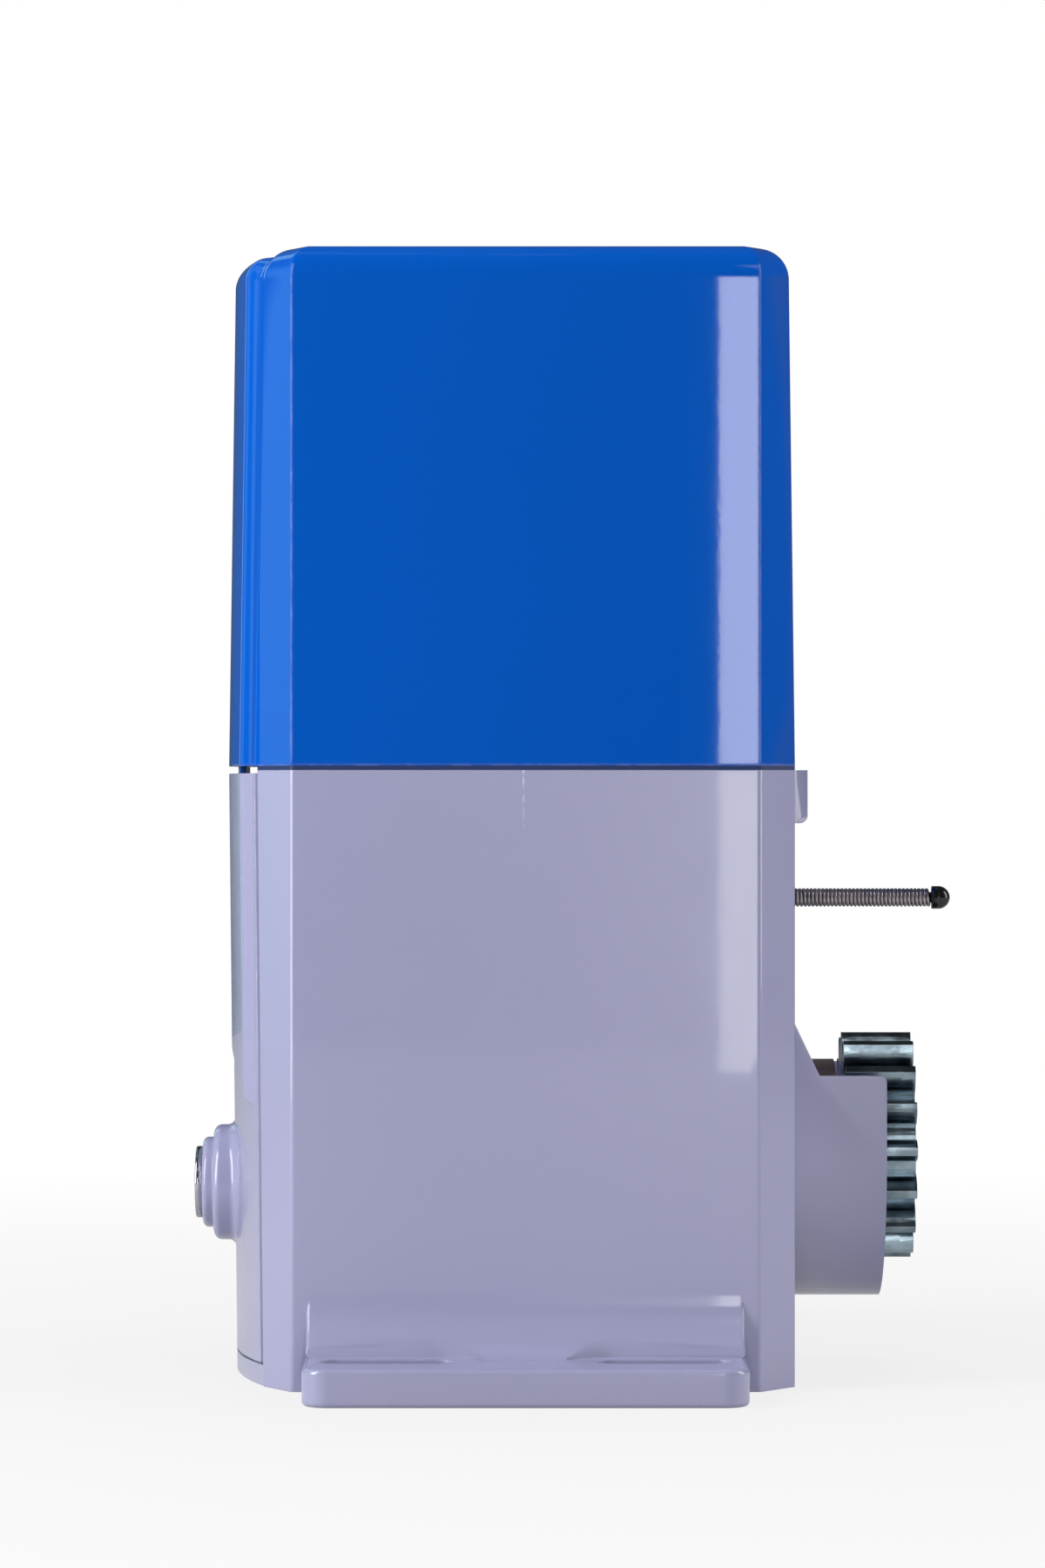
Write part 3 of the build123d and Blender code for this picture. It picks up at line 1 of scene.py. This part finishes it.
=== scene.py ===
import json
import math
import bmesh
import bpy
import numpy as np
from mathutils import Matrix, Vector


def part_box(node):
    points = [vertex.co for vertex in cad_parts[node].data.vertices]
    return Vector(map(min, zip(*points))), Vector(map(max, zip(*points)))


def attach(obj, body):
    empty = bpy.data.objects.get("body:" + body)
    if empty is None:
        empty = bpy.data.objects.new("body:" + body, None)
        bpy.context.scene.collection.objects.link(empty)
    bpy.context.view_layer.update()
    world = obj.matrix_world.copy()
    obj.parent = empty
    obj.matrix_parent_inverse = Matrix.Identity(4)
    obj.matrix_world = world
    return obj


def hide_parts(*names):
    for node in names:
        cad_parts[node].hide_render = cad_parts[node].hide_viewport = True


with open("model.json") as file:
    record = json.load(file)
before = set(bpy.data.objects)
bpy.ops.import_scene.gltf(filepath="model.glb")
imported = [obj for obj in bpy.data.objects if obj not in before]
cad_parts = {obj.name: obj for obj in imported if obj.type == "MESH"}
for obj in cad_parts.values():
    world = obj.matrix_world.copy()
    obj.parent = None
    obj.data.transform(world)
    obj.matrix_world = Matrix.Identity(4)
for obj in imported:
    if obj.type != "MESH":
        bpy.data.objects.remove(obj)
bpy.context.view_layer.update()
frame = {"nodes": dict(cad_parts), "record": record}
nodes = frame["nodes"]
print("frame loaded")

mm = 0.001


# Camera

cameraSet = {
    "place": (-0.95 * mm, -1.81, 186.8 * mm),  # square to the near side, level with the seam
    "lens": 129.0,
    "sensor": 36.0,
}


def makeCamera():
    data = bpy.data.cameras.new("photoCamera")
    data.lens = cameraSet["lens"]
    data.sensor_width = cameraSet["sensor"]
    camera = bpy.data.objects.new("photoCamera", data)
    camera.location = cameraSet["place"]
    camera.rotation_euler = (math.pi / 2, 0, 0)
    bpy.context.scene.collection.objects.link(camera)
    bpy.context.scene.camera = camera


makeCamera()
print("camera set")


# Node helpers

def newTree(name):
    material = bpy.data.materials.new(name)
    material.use_nodes = True
    tree = material.node_tree
    return material, tree, tree.nodes["Principled BSDF"]


def addNode(tree, kind, inputs=(), **settings):
    node = tree.nodes.new(kind)
    for key, value in settings.items():
        setattr(node, key, value)
    for key, value in dict(inputs).items():
        if isinstance(value, bpy.types.NodeSocket):
            tree.links.new(value, node.inputs[key])
        else:
            node.inputs[key].default_value = value
    return node


def noiseAt(tree, scale, detail=2.0, stretch=(1, 1, 1)):
    coords = addNode(tree, "ShaderNodeTexCoord")
    mapping = addNode(tree, "ShaderNodeMapping", {"Vector": coords.outputs["Object"], "Scale": stretch})
    noise = addNode(tree, "ShaderNodeTexNoise", {"Vector": mapping.outputs["Vector"], "Scale": scale,
                                                 "Detail": detail})
    return noise.outputs["Fac"]


def spread(tree, value, low, high, fromLow=0.3, fromHigh=0.7):
    return addNode(tree, "ShaderNodeMapRange", {"Value": value, "From Min": fromLow, "From Max": fromHigh,
                                                "To Min": low, "To Max": high}).outputs["Result"]


def blendColors(tree, value, colorA, colorB):
    ramp = addNode(tree, "ShaderNodeValToRGB", {"Fac": value})
    ramp.color_ramp.elements[0].position = 0.35
    ramp.color_ramp.elements[1].position = 0.65
    ramp.color_ramp.elements[0].color = (*colorA, 1)
    ramp.color_ramp.elements[1].color = (*colorB, 1)
    return ramp.outputs["Color"]


def scaled(color, factor):
    return tuple(min(1.0, c * factor) for c in color)


def bumped(tree, height, distance, normal=None):
    inputs = {"Height": height, "Distance": distance, "Strength": 1.0}
    if normal is not None:
        inputs["Normal"] = normal
    return addNode(tree, "ShaderNodeBump", inputs).outputs["Normal"]


def roundedEdges(tree, radius):
    return addNode(tree, "ShaderNodeBevel", {"Radius": radius}, samples=6).outputs["Normal"]


def calculated(tree, operation, first, second=0.0):
    return addNode(tree, "ShaderNodeMath", {0: first, 1: second}, operation=operation).outputs[0]


def mixed(tree, share, colorA, colorB):
    first = colorA if isinstance(colorA, bpy.types.NodeSocket) else (*colorA, 1)
    mix = addNode(tree, "ShaderNodeMix", {0: share, 6: first, 7: (*colorB, 1)}, data_type="RGBA")
    return mix.outputs[2]


# Painted highlights: edges are painted lighter than their faces, for the light that rounded edges catch
edgeHighlightSet = {
    "turned": (0.86, 0.985),  # cosine between the rounded normal and the face's own: full painted highlight, no highlight
    "patches": (0.42, 0.62),  # noise where the painted highlight begins, and where it is full
    "paint": {"share": 0.35, "size": 160.0, "toward": 0.8, "lift": 0.35},
    "metal": {"share": 0.5, "size": 300.0, "lift": 1.6},
}


def edgeHighlightShare(tree, rounded, size):
    # Where the rounded normal leaves the face's own, broken up by noise: 1 on an edge that gets a painted highlight, 0
    # on a face
    own = addNode(tree, "ShaderNodeNewGeometry").outputs["Normal"]
    turned = addNode(tree, "ShaderNodeVectorMath", {0: rounded, 1: own}, operation="DOT_PRODUCT").outputs["Value"]
    edge = spread(tree, turned, 1.0, 0.0, *edgeHighlightSet["turned"])
    return calculated(tree, "MULTIPLY", edge, spread(tree, noiseAt(tree, size, 3.0), 0.0, 1.0, *edgeHighlightSet["patches"]))


# Finishes. Each takes its colour from noise or a pattern in object space, and most have their edges rounded in the
# shading.

paintSet = {
    "driftSize": 9.0, "drift": 0.015,  # broad clouds of tone
    "glossSize": 60.0, "glossDrift": 0.1,
    "coatRoughness": 0.03,
    "wideSize": 0.3, "wideDepth": 1.2,  # slow wave under the peel, as shares of its size and depth
}


def paintFinish(name, color, roughness, peelSize, peelDepth, edge, coat, marks=None):
    # Gloss paint: the colour drifts a little, edges get a lighter painted highlight, and a fine wave gives the skin of
    # an orange
    material, tree, shader = newTree(name)
    edgeLight = edgeHighlightSet["paint"]
    rounded = roundedEdges(tree, edge)
    drift = blendColors(tree, noiseAt(tree, paintSet["driftSize"], 1.0), scaled(color, 1 - paintSet["drift"]),
                        scaled(color, 1 + paintSet["drift"]))
    # Painted highlight: edges are mixed toward a pale colour
    edgeLit = calculated(tree, "MULTIPLY", edgeHighlightShare(tree, rounded, edgeLight["size"]), edgeLight["share"])
    surface = mixed(tree, edgeLit, drift, tuple(c + edgeLight["lift"] * (edgeLight["toward"] - c) for c in color))
    # marks paints the parting-line highlight and the boss's shade on the body
    if marks:
        surface = marks(tree, surface)
    tree.links.new(surface, shader.inputs["Base Color"])
    gloss = spread(tree, noiseAt(tree, paintSet["glossSize"]), roughness * (1 - paintSet["glossDrift"]),
                   roughness * (1 + paintSet["glossDrift"]))
    tree.links.new(gloss, shader.inputs["Roughness"])
    shader.inputs["Coat Weight"].default_value = coat
    shader.inputs["Coat Roughness"].default_value = paintSet["coatRoughness"]
    wide = bumped(tree, noiseAt(tree, peelSize * paintSet["wideSize"], 1.0), peelDepth * paintSet["wideDepth"], rounded)
    fine = bumped(tree, noiseAt(tree, peelSize, 1.0), peelDepth, wide)
    tree.links.new(fine, shader.inputs["Normal"])
    tree.links.new(fine, shader.inputs["Coat Normal"])
    return material


partingHighlightAndBossShade = {
    "partingX": -0.65 * mm,
    "partingHalf": 0.3 * mm,
    "partingTop": 188.0 * mm,
    "partingFoot": 168.0 * mm,
    # Painted highlight: the parting line's dashes are lighter than the paint
    "partingHighlightColor": (0.62, 0.62, 0.78),
    "dashSize": 260.0,
    "dashStretch": (0.05, 0.05, 1),
    "dashReach": (0.44, 0.6),  # noise where a dash begins, and where it is full
    "axis": (-6.0 * mm, 71.1 * mm),  # output shaft, in Y and Z
    # Painted shade: dark brown-grey where the guard shades the boss behind the pinion
    "bossShadeRadius": 28.0 * mm,
    "bossShadeFrom": 84.5 * mm,
    "bossShadeColor": (0.075, 0.055, 0.06),
}


def paintPartingHighlightAndBossShade(tree, surface):
    # Painted highlight: lighter dashes down the mould's parting line under the seam. Painted shade: the boss behind the
    # pinion is painted dark brown-grey
    coords = addNode(tree, "ShaderNodeTexCoord")
    spot = addNode(tree, "ShaderNodeSeparateXYZ", {0: coords.outputs["Object"]}).outputs
    aside = calculated(tree, "ABSOLUTE", calculated(tree, "SUBTRACT", spot["X"], partingHighlightAndBossShade["partingX"]))
    line = spread(tree, aside, 1.0, 0.0, partingHighlightAndBossShade["partingHalf"] * 0.5, partingHighlightAndBossShade["partingHalf"] * 1.3)
    fade = spread(tree, spot["Z"], 0.0, 1.0, partingHighlightAndBossShade["partingFoot"], partingHighlightAndBossShade["partingTop"])
    broken = noiseAt(tree, partingHighlightAndBossShade["dashSize"], 2.0, partingHighlightAndBossShade["dashStretch"])
    dashes = spread(tree, broken, 0.0, 1.0, *partingHighlightAndBossShade["dashReach"])
    partingHighlightShare = calculated(tree, "MULTIPLY", calculated(tree, "MULTIPLY", line, fade), dashes)
    partingHighlighted = mixed(tree, partingHighlightShare, surface, partingHighlightAndBossShade["partingHighlightColor"])
    across = calculated(tree, "SUBTRACT", spot["Y"], partingHighlightAndBossShade["axis"][0])
    above = calculated(tree, "SUBTRACT", spot["Z"], partingHighlightAndBossShade["axis"][1])
    squares = calculated(tree, "ADD", calculated(tree, "MULTIPLY", across, across),
                         calculated(tree, "MULTIPLY", above, above))
    radius = calculated(tree, "SQRT", squares)
    # Painted shade on the boss behind the pinion
    within = calculated(tree, "LESS_THAN", radius, partingHighlightAndBossShade["bossShadeRadius"])
    behind = calculated(tree, "GREATER_THAN", spot["X"], partingHighlightAndBossShade["bossShadeFrom"])
    return mixed(tree, calculated(tree, "MULTIPLY", within, behind), partingHighlighted, partingHighlightAndBossShade["bossShadeColor"])


metalSet = {"toneSize": 130.0, "gloss": (0.75, 1.3)}


def metalFinish(name, color, roughness, grain=900.0, stretch=(1, 1, 1), depth=2e-6, edge=0.2 * mm, blotch=0.12):
    # Bare metal: blotches of tone, and a grain that the stretch draws out into tool marks
    material, tree, shader = newTree(name)
    edgeLight = edgeHighlightSet["metal"]
    tone = noiseAt(tree, metalSet["toneSize"], 4.0)
    rounded = roundedEdges(tree, edge)
    blotches = blendColors(tree, tone, scaled(color, 1 - blotch), scaled(color, 1 + blotch))
    # Painted highlight: edges are painted brighter than the face
    bright = calculated(tree, "MULTIPLY", edgeHighlightShare(tree, rounded, edgeLight["size"]), edgeLight["share"])
    tree.links.new(mixed(tree, bright, blotches, scaled(color, edgeLight["lift"])), shader.inputs["Base Color"])
    shader.inputs["Metallic"].default_value = 1.0
    marks = noiseAt(tree, grain, 3.0, stretch)
    smooth, rough = metalSet["gloss"]
    tree.links.new(spread(tree, marks, roughness * smooth, roughness * rough), shader.inputs["Roughness"])
    tree.links.new(bumped(tree, marks, depth, rounded), shader.inputs["Normal"])
    return material


plasticSet = {"cloudSize": 45.0, "tone": (0.9, 1.12)}


def plasticFinish(name, color, roughness, grain=700.0, depth=4e-6, edge=0.3 * mm, soft=0.0):
    # Moulded plastic or rubber: an even colour with faint clouds and a spark-eroded grain
    material, tree, shader = newTree(name)
    clouds = noiseAt(tree, plasticSet["cloudSize"], 3.0)
    low, high = plasticSet["tone"]
    tree.links.new(blendColors(tree, clouds, scaled(color, low), scaled(color, high)), shader.inputs["Base Color"])
    tree.links.new(spread(tree, clouds, roughness * low, roughness * high), shader.inputs["Roughness"])
    shader.inputs["Sheen Weight"].default_value = soft
    tree.links.new(bumped(tree, noiseAt(tree, grain, 2.0), depth, roundedEdges(tree, edge)), shader.inputs["Normal"])
    return material


def stripedFinish(name, colorA, colorB, pitch, axis, roughness, metallic, depth):
    # Stacked sheets or wound wire: fine stripes across one axis, a pitch apart
    material, tree, shader = newTree(name)
    coords = addNode(tree, "ShaderNodeTexCoord")
    wave = addNode(tree, "ShaderNodeTexWave",
                   {"Vector": coords.outputs["Object"], "Scale": 1.0 / (20 * pitch) * math.pi, "Distortion": 0.6,
                    "Detail": 1.0, "Detail Scale": 40.0},
                   wave_type="BANDS", bands_direction=axis, wave_profile="SIN")
    tree.links.new(blendColors(tree, wave.outputs["Fac"], colorA, colorB), shader.inputs["Base Color"])
    tree.links.new(spread(tree, noiseAt(tree, 200.0), roughness * 0.8, roughness * 1.2), shader.inputs["Roughness"])
    shader.inputs["Metallic"].default_value = metallic
    tree.links.new(bumped(tree, wave.outputs["Fac"], depth, roundedEdges(tree, 0.3 * mm)), shader.inputs["Normal"])
    return material


def boardFinish(name):
    # Circuit board: green resist over copper tracks, drawn as the edges of a stretched cell pattern
    material, tree, shader = newTree(name)
    coords = addNode(tree, "ShaderNodeTexCoord")
    cells = addNode(tree, "ShaderNodeTexVoronoi",
                    {"Vector": coords.outputs["Object"], "Scale": 190.0, "Randomness": 0.25},
                    feature="DISTANCE_TO_EDGE", distance="CHEBYCHEV")
    tracks = spread(tree, cells.outputs["Distance"], 1.0, 0.0, 0.06, 0.10)
    tree.links.new(blendColors(tree, tracks, (0.005, 0.085, 0.035), (0.02, 0.17, 0.07)), shader.inputs["Base Color"])
    shader.inputs["Roughness"].default_value = 0.28
    tree.links.new(bumped(tree, tracks, 3e-5), shader.inputs["Normal"])
    return material


def glassFinish(name):
    material, tree, shader = newTree(name)
    tree.links.new(blendColors(tree, noiseAt(tree, 300.0), (0.86, 0.9, 0.9), (0.95, 0.97, 0.97)),
                   shader.inputs["Base Color"])
    shader.inputs["Transmission Weight"].default_value = 0.85
    shader.inputs["Roughness"].default_value = 0.05
    tree.links.new(roundedEdges(tree, 0.3 * mm), shader.inputs["Normal"])
    return material


bodyColor = (0.335, 0.335, 0.515)
coverColor = (0.0, 0.088, 0.49)

finishes = {
    "body_paint": paintFinish("bodyPaint", bodyColor, 0.22, 420.0, 1.2e-6, 0.7 * mm, 0.5, paintPartingHighlightAndBossShade),
    "cover_paint": paintFinish("coverPaint", coverColor, 0.02, 620.0, 6e-7, 1.5 * mm, 0.0),
    "zinc_steel": metalFinish("zincSteel", (0.22, 0.28, 0.32), 0.2, 500.0, (0.4, 1, 1), 6e-6, 0.25 * mm, 0.35),
    "bright_steel": metalFinish("brightSteel", (0.6, 0.6, 0.61), 0.22, 900.0, (1, 1, 1), 1e-6),
    "spring_steel": metalFinish("springSteel", (0.42, 0.38, 0.38), 0.38, 900.0, (1, 1, 1), 1e-6),
    "dark_steel": metalFinish("darkSteel", (0.12, 0.12, 0.125), 0.4, 900.0, (1, 1, 1), 3e-6),
    "lock_chrome": metalFinish("lockChrome", (0.5, 0.5, 0.51), 0.1, 900.0, (1, 1, 1), 5e-7),
    "bronze": metalFinish("bronze", (0.56, 0.36, 0.14), 0.32, 700.0, (0.3, 1, 1), 4e-6),
    "cast_aluminium": metalFinish("castAluminium", (0.52, 0.53, 0.55), 0.48, 500.0, (1, 1, 1), 2e-5),
    "sheet_metal": metalFinish("sheetMetal", (0.5, 0.52, 0.53), 0.36, 60.0, (1, 1, 1), 4e-6, 0.2 * mm, 0.22),
    "lamination": stripedFinish("lamination", (0.10, 0.10, 0.11), (0.2, 0.2, 0.21), 0.5 * mm, "Z", 0.45, 0.9, 2e-5),
    "copper": stripedFinish("copper", (0.30, 0.10, 0.035), (0.62, 0.27, 0.11), 0.9 * mm, "Z", 0.3, 0.85, 6e-5),
    "black_rubber": plasticFinish("blackRubber", (0.02, 0.02, 0.02), 0.6, soft=0.2),
    # The gasket is real rubber; its deep navy tone is painted shade, the dark line under the cover's lip
    "navy_rubber": plasticFinish("navyGasketShade", (0.004, 0.02, 0.10), 0.55),
    "black_plastic": plasticFinish("blackPlastic", (0.022, 0.022, 0.025), 0.42),
    "cap_plastic": plasticFinish("capPlastic", (0.008, 0.008, 0.009), 0.14, depth=1e-6),
    "red_plastic": plasticFinish("redPlastic", (0.5, 0.02, 0.012), 0.25),
    "white_plastic": plasticFinish("whitePlastic", (0.72, 0.72, 0.69), 0.36),
    "green_plastic": plasticFinish("greenPlastic", (0.035, 0.26, 0.09), 0.38),
    "blue_plastic": plasticFinish("bluePlastic", (0.03, 0.11, 0.36), 0.32),
    "green_board": boardFinish("greenBoard"),
    "fuse_glass": glassFinish("fuseGlass"),
}
print("materials made:", len(finishes))


# CAD nodes that show: a copy with its doubles merged and its creases marked shades smoothly

def dressNodes():
    slotOf = {part["node"]: part["material_slot"] for part in frame["record"]["subparts"]}
    for name, node in nodes.items():
        node.data.materials.clear()
        node.data.materials.append(finishes[slotOf[name]])
    print("nodes dressed:", len(nodes))
    return slotOf


slotOf = dressNodes()


def bodyOf(name):
    return next(body for body, members in frame["record"]["behaviour"]["bodies"].items() if name in members)


def place(name, mesh, body, slot, replaced=()):
    # Links a finished mesh as a piece that rides on a body and takes the slot's finish
    piece = bpy.data.objects.new(name, mesh)
    bpy.context.scene.collection.objects.link(piece)
    mesh.materials.clear()
    mesh.materials.append(finishes[slot])
    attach(piece, body)
    if replaced:
        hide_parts(*replaced)
    return piece


smoothSet = {"angle": 24.0, "toothAngle": 12.0, "merge": 0.002 * mm}


def smoothPiece(name, angle):
    # Copy of a node's mesh with its doubles merged, smooth but for edges sharper than the angle
    mesh = nodes[name].data.copy()
    work = bmesh.new()
    work.from_mesh(mesh)
    bmesh.ops.remove_doubles(work, verts=work.verts, dist=smoothSet["merge"])
    work.to_mesh(mesh)
    work.free()
    mesh.polygons.foreach_set("use_smooth", np.ones(len(mesh.polygons), bool))
    mesh.set_sharp_from_angle(angle=math.radians(angle))
    mesh.name = name + "_skin"
    skin = place(name + "_skin", mesh, bodyOf(name), slotOf[name], (name,))
    weighted = skin.modifiers.new("weighted", "WEIGHTED_NORMAL")  # flat faces stay flat beside their fillets
    weighted.mode = "FACE_AREA"
    weighted.weight = 100
    weighted.keep_sharp = True


# Grids: a piece is a function of two parameters, kept as rows x columns x 3

def meshFromGrid(name, grid, closedColumns=False, caps=False):
    # Quads between neighbouring points; closed columns join the last one to the first, caps fill the end rows
    rows, columns = grid.shape[:2]
    ids = np.arange(rows * columns).reshape(rows, columns)
    around = np.hstack([ids, ids[:, :1]]) if closedColumns else ids
    quads = np.stack([around[:-1, :-1], around[1:, :-1], around[1:, 1:], around[:-1, 1:]], -1).reshape(-1, 4)
    faces = quads.tolist()
    if caps:
        faces += [ids[0].tolist(), ids[-1][::-1].tolist()]
    mesh = bpy.data.meshes.new(name)
    mesh.from_pydata(grid.reshape(-1, 3).tolist(), [], faces)
    mesh.polygons.foreach_set("use_smooth", np.ones(len(mesh.polygons), bool))
    mesh.update()
    return mesh


springSet = {"wire": 1.23 * mm, "perTurn": 22, "around": 8}


def springCoil():
    # Close coil: a round wire carried along a helix whose pitch is the wire's own thickness.
    # Point = axis + (R + r cos v) radial(u) + r sin v along the axis, u being the turn and v round the wire.
    low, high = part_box("limit_spring")
    wireR = springSet["wire"] / 2
    coilR = (high.z - low.z) / 2 - wireR
    length = high.x - low.x - springSet["wire"]
    turns = length / springSet["wire"]
    u = np.linspace(0, turns * 2 * math.pi, int(turns * springSet["perTurn"]))[:, None]
    v = np.linspace(0, 2 * math.pi, springSet["around"], endpoint=False)[None, :]
    radius = coilR + wireR * np.cos(v)
    x = low.x + wireR + length * u / (turns * 2 * math.pi) + wireR * np.sin(v)
    y = (low.y + high.y) / 2 + radius * np.cos(u)
    z = (low.z + high.z) / 2 + radius * np.sin(u)
    grid = np.stack(np.broadcast_arrays(x, y, z), -1)
    mesh = meshFromGrid("spring_coil", grid, closedColumns=True, caps=True)
    place("spring_coil", mesh, "limit_lever", "spring_steel", ("limit_spring",))
    print("spring wound:", round(turns), "turns")


springCoil()

for shown in ("body_casting", "top_cover", "door_panel", "lock_cylinder", "lock_plug", "pinion", "pinion_bolt",
              "pinion_washer", "limit_cap", "cover_gasket", "output_shaft", "cooling_fan", "motor_end_bell",
              "motor_stator", "gearbox_lid", "run_capacitor", "capacitor_clip", "release_lever", "limit_lever_hub",
              "stator_windings", "transformer_coil", "door_hinge_pins", "rotor_core", "worm_shaft"):
    smoothPiece(shown, smoothSet["toothAngle" if shown == "pinion" else "angle"])
print("skins made")


# Stage: pale floor, white surroundings for the camera, soft boxes and a dark tent that only reflections see

stageSet = {
    "floorHalf": 4.0,
    "floorColor": 0.5,
    "floorGlow": 0.8,
    "glowReach": (0.15, 0.9),  # from the shaded paper near the object to plain white, in metres
    "floorMirror": ((-0.25, 0.75), (0.05, 0.2)),  # Y, and the share of white that a mirror sees there
    "fill": 0.24,
    "unseen": ("frontBox", "highBox"),  # boxes that no reflection shows
    "boxes": {  # centre, what it faces, width and height, power
        "bandBox": ((0.17, -1.81, 0.29), (0.17, 0, 0.29), (0.10, 0.56), 1.45),
        "keyBox": ((-0.82, -0.40, 0.58), (0, 0, 0.40), (0.34, 1.10), 12.0),
        "frontBox": ((0.90, -1.40, 0.60), (0, 0, 0.15), (0.60, 0.60), 4.8),
        "sideBox": ((1.50, -0.10, 0.75), (0, 0, 0.40), (0.60, 1.40), 12.0),
        "glintBox": ((0.21, -1.30, 1.25), (0.12, 0, 0.08), (0.16, 0.28), 0.28),
        "highBox": ((0.20, 0.50, 2.00), (0, 0, 0.20), (1.00, 1.00), 12.0),
    },
    "tentProfile": ((2.3, 0.0), (2.3, 2.6), (1.2, 3.5), (0.05, 3.7)),  # radius and height
    "tentSteps": 181,
    "tentColor": 0.03,
    # Turn from the camera's side in degrees, and the light that the cloth or a card on it gives back there
    "tentGlow": ((-180, (0.03, 0.06, 0.06)), (-156, (0.03, 0.06, 0.06)), (-154, (0.45, 0.85, 0.9)),
                 (-146, (0.45, 0.85, 0.9)), (-144, (0.03, 0.03, 0.04)), (-132, (0.03, 0.03, 0.04)),
                 (-124, (0.25, 0.5, 0.48)), (-112, (0.3, 0.55, 0.5)), (-104, (0.03, 0.03, 0.03)),
                 (180, (0.03, 0.03, 0.03))),
}


def lightPath(tree, *kinds):
    path = addNode(tree, "ShaderNodeLightPath")
    seen = path.outputs[kinds[0]]
    for kind in kinds[1:]:
        seen = calculated(tree, "MAXIMUM", seen, path.outputs[kind])
    return seen


def makeWorld():
    # White for what the camera, a mirror or glass sees, and a soft fill for light that falls on a surface
    world = bpy.data.worlds.new("studio")
    bpy.context.scene.world = world
    world.use_nodes = True
    tree = world.node_tree
    seen = lightPath(tree, "Is Camera Ray", "Is Glossy Ray", "Is Transmission Ray")
    background = tree.nodes["Background"]
    background.inputs["Color"].default_value = (1, 1, 1, 1)
    tree.links.new(spread(tree, seen, stageSet["fill"], 1.0, 0.0, 1.0), background.inputs["Strength"])


def makeFloor():
    half = stageSet["floorHalf"]
    corners = np.array([[[-half, -half, 0], [-half, half, 0]], [[half, -half, 0], [half, half, 0]]], float)
    floor = bpy.data.objects.new("floor", meshFromGrid("floor", corners))
    bpy.context.scene.collection.objects.link(floor)
    material, tree, shader = newTree("floorPaper")
    color = stageSet["floorColor"]
    shader.inputs["Base Color"].default_value = (color, color, color, 1)
    shader.inputs["Roughness"].default_value = 0.9
    glow = addNode(tree, "ShaderNodeEmission", {"Color": (1, 1, 1, 1), "Strength": 1.0})
    coords = addNode(tree, "ShaderNodeTexCoord")
    reach = addNode(tree, "ShaderNodeVectorMath", {0: coords.outputs["Object"]}, operation="LENGTH")
    paper = spread(tree, reach.outputs["Value"], stageSet["floorGlow"], 1.0, *stageSet["glowReach"])
    looked = calculated(tree, "MULTIPLY", lightPath(tree, "Is Camera Ray", "Is Transmission Ray"), paper)
    (nearY, nearWhite), (farY, farWhite) = stageSet["floorMirror"]
    depth = addNode(tree, "ShaderNodeSeparateXYZ", {0: coords.outputs["Object"]}).outputs["Y"]
    mirrored = calculated(tree, "MULTIPLY", lightPath(tree, "Is Glossy Ray"),
                     spread(tree, depth, nearWhite, farWhite, nearY, farY))
    mix = addNode(tree, "ShaderNodeMixShader", {"Fac": calculated(tree, "MAXIMUM", looked, mirrored)})
    tree.links.new(shader.outputs["BSDF"], mix.inputs[1])
    tree.links.new(glow.outputs["Emission"], mix.inputs[2])
    tree.links.new(mix.outputs["Shader"], tree.nodes["Material Output"].inputs["Surface"])
    floor.data.materials.append(material)


def makeTent():
    # Dark cloth all round: the profile (r, h) turned about the stage, point = (r sin a, -r cos a, h),
    # a being the turn from the camera's side. Its glow follows the turn.
    profile = np.array(stageSet["tentProfile"])
    angle = np.linspace(-math.pi, math.pi, stageSet["tentSteps"])[:, None]
    x = profile[:, 0] * np.sin(angle)
    y = -profile[:, 0] * np.cos(angle)
    grid = np.stack([x, y, profile[:, 1] + 0 * angle], -1)
    mesh = meshFromGrid("studioTent", grid)
    turns = [turn for turn, color in stageSet["tentGlow"]]
    colors = np.array([color for turn, color in stageSet["tentGlow"]])
    channels = [np.interp(np.degrees(angle), turns, colors[:, k]) + 0 * x for k in range(3)]
    glow = np.stack([*channels, np.ones_like(x)], -1)
    mesh.attributes.new("glow", "FLOAT_COLOR", "POINT").data.foreach_set("color", glow.ravel())
    tent = bpy.data.objects.new("studioTent", mesh)
    bpy.context.scene.collection.objects.link(tent)
    material, tree, shader = newTree("tentCloth")
    color = stageSet["tentColor"]
    shader.inputs["Base Color"].default_value = (color, color, color, 1)
    shader.inputs["Emission Strength"].default_value = 1.0
    cloth = addNode(tree, "ShaderNodeAttribute", attribute_name="glow")
    tree.links.new(cloth.outputs["Color"], shader.inputs["Emission Color"])
    mesh.materials.append(material)
    tent.visible_camera = False
    tent.visible_diffuse = False
    tent.visible_shadow = False
    tent.visible_transmission = False


def makeSoftBox(name, centre, target, size, power):
    light = bpy.data.lights.new(name, "AREA")
    light.shape = "RECTANGLE"
    light.size, light.size_y = size
    light.energy = power
    lamp = bpy.data.objects.new(name, light)
    lamp.location = centre
    away = np.array(target) - np.array(centre)
    pitch = math.atan2(away[2], math.hypot(away[0], away[1]))
    lamp.rotation_euler = (math.pi / 2 + pitch, 0, math.atan2(away[1], away[0]) - math.pi / 2)
    lamp.visible_glossy = name not in stageSet["unseen"]
    bpy.context.scene.collection.objects.link(lamp)


makeWorld()
makeFloor()
makeTent()
for boxName, box in stageSet["boxes"].items():
    makeSoftBox(boxName, *box)
bpy.context.scene.view_settings.view_transform = "Standard"
print("stage set")
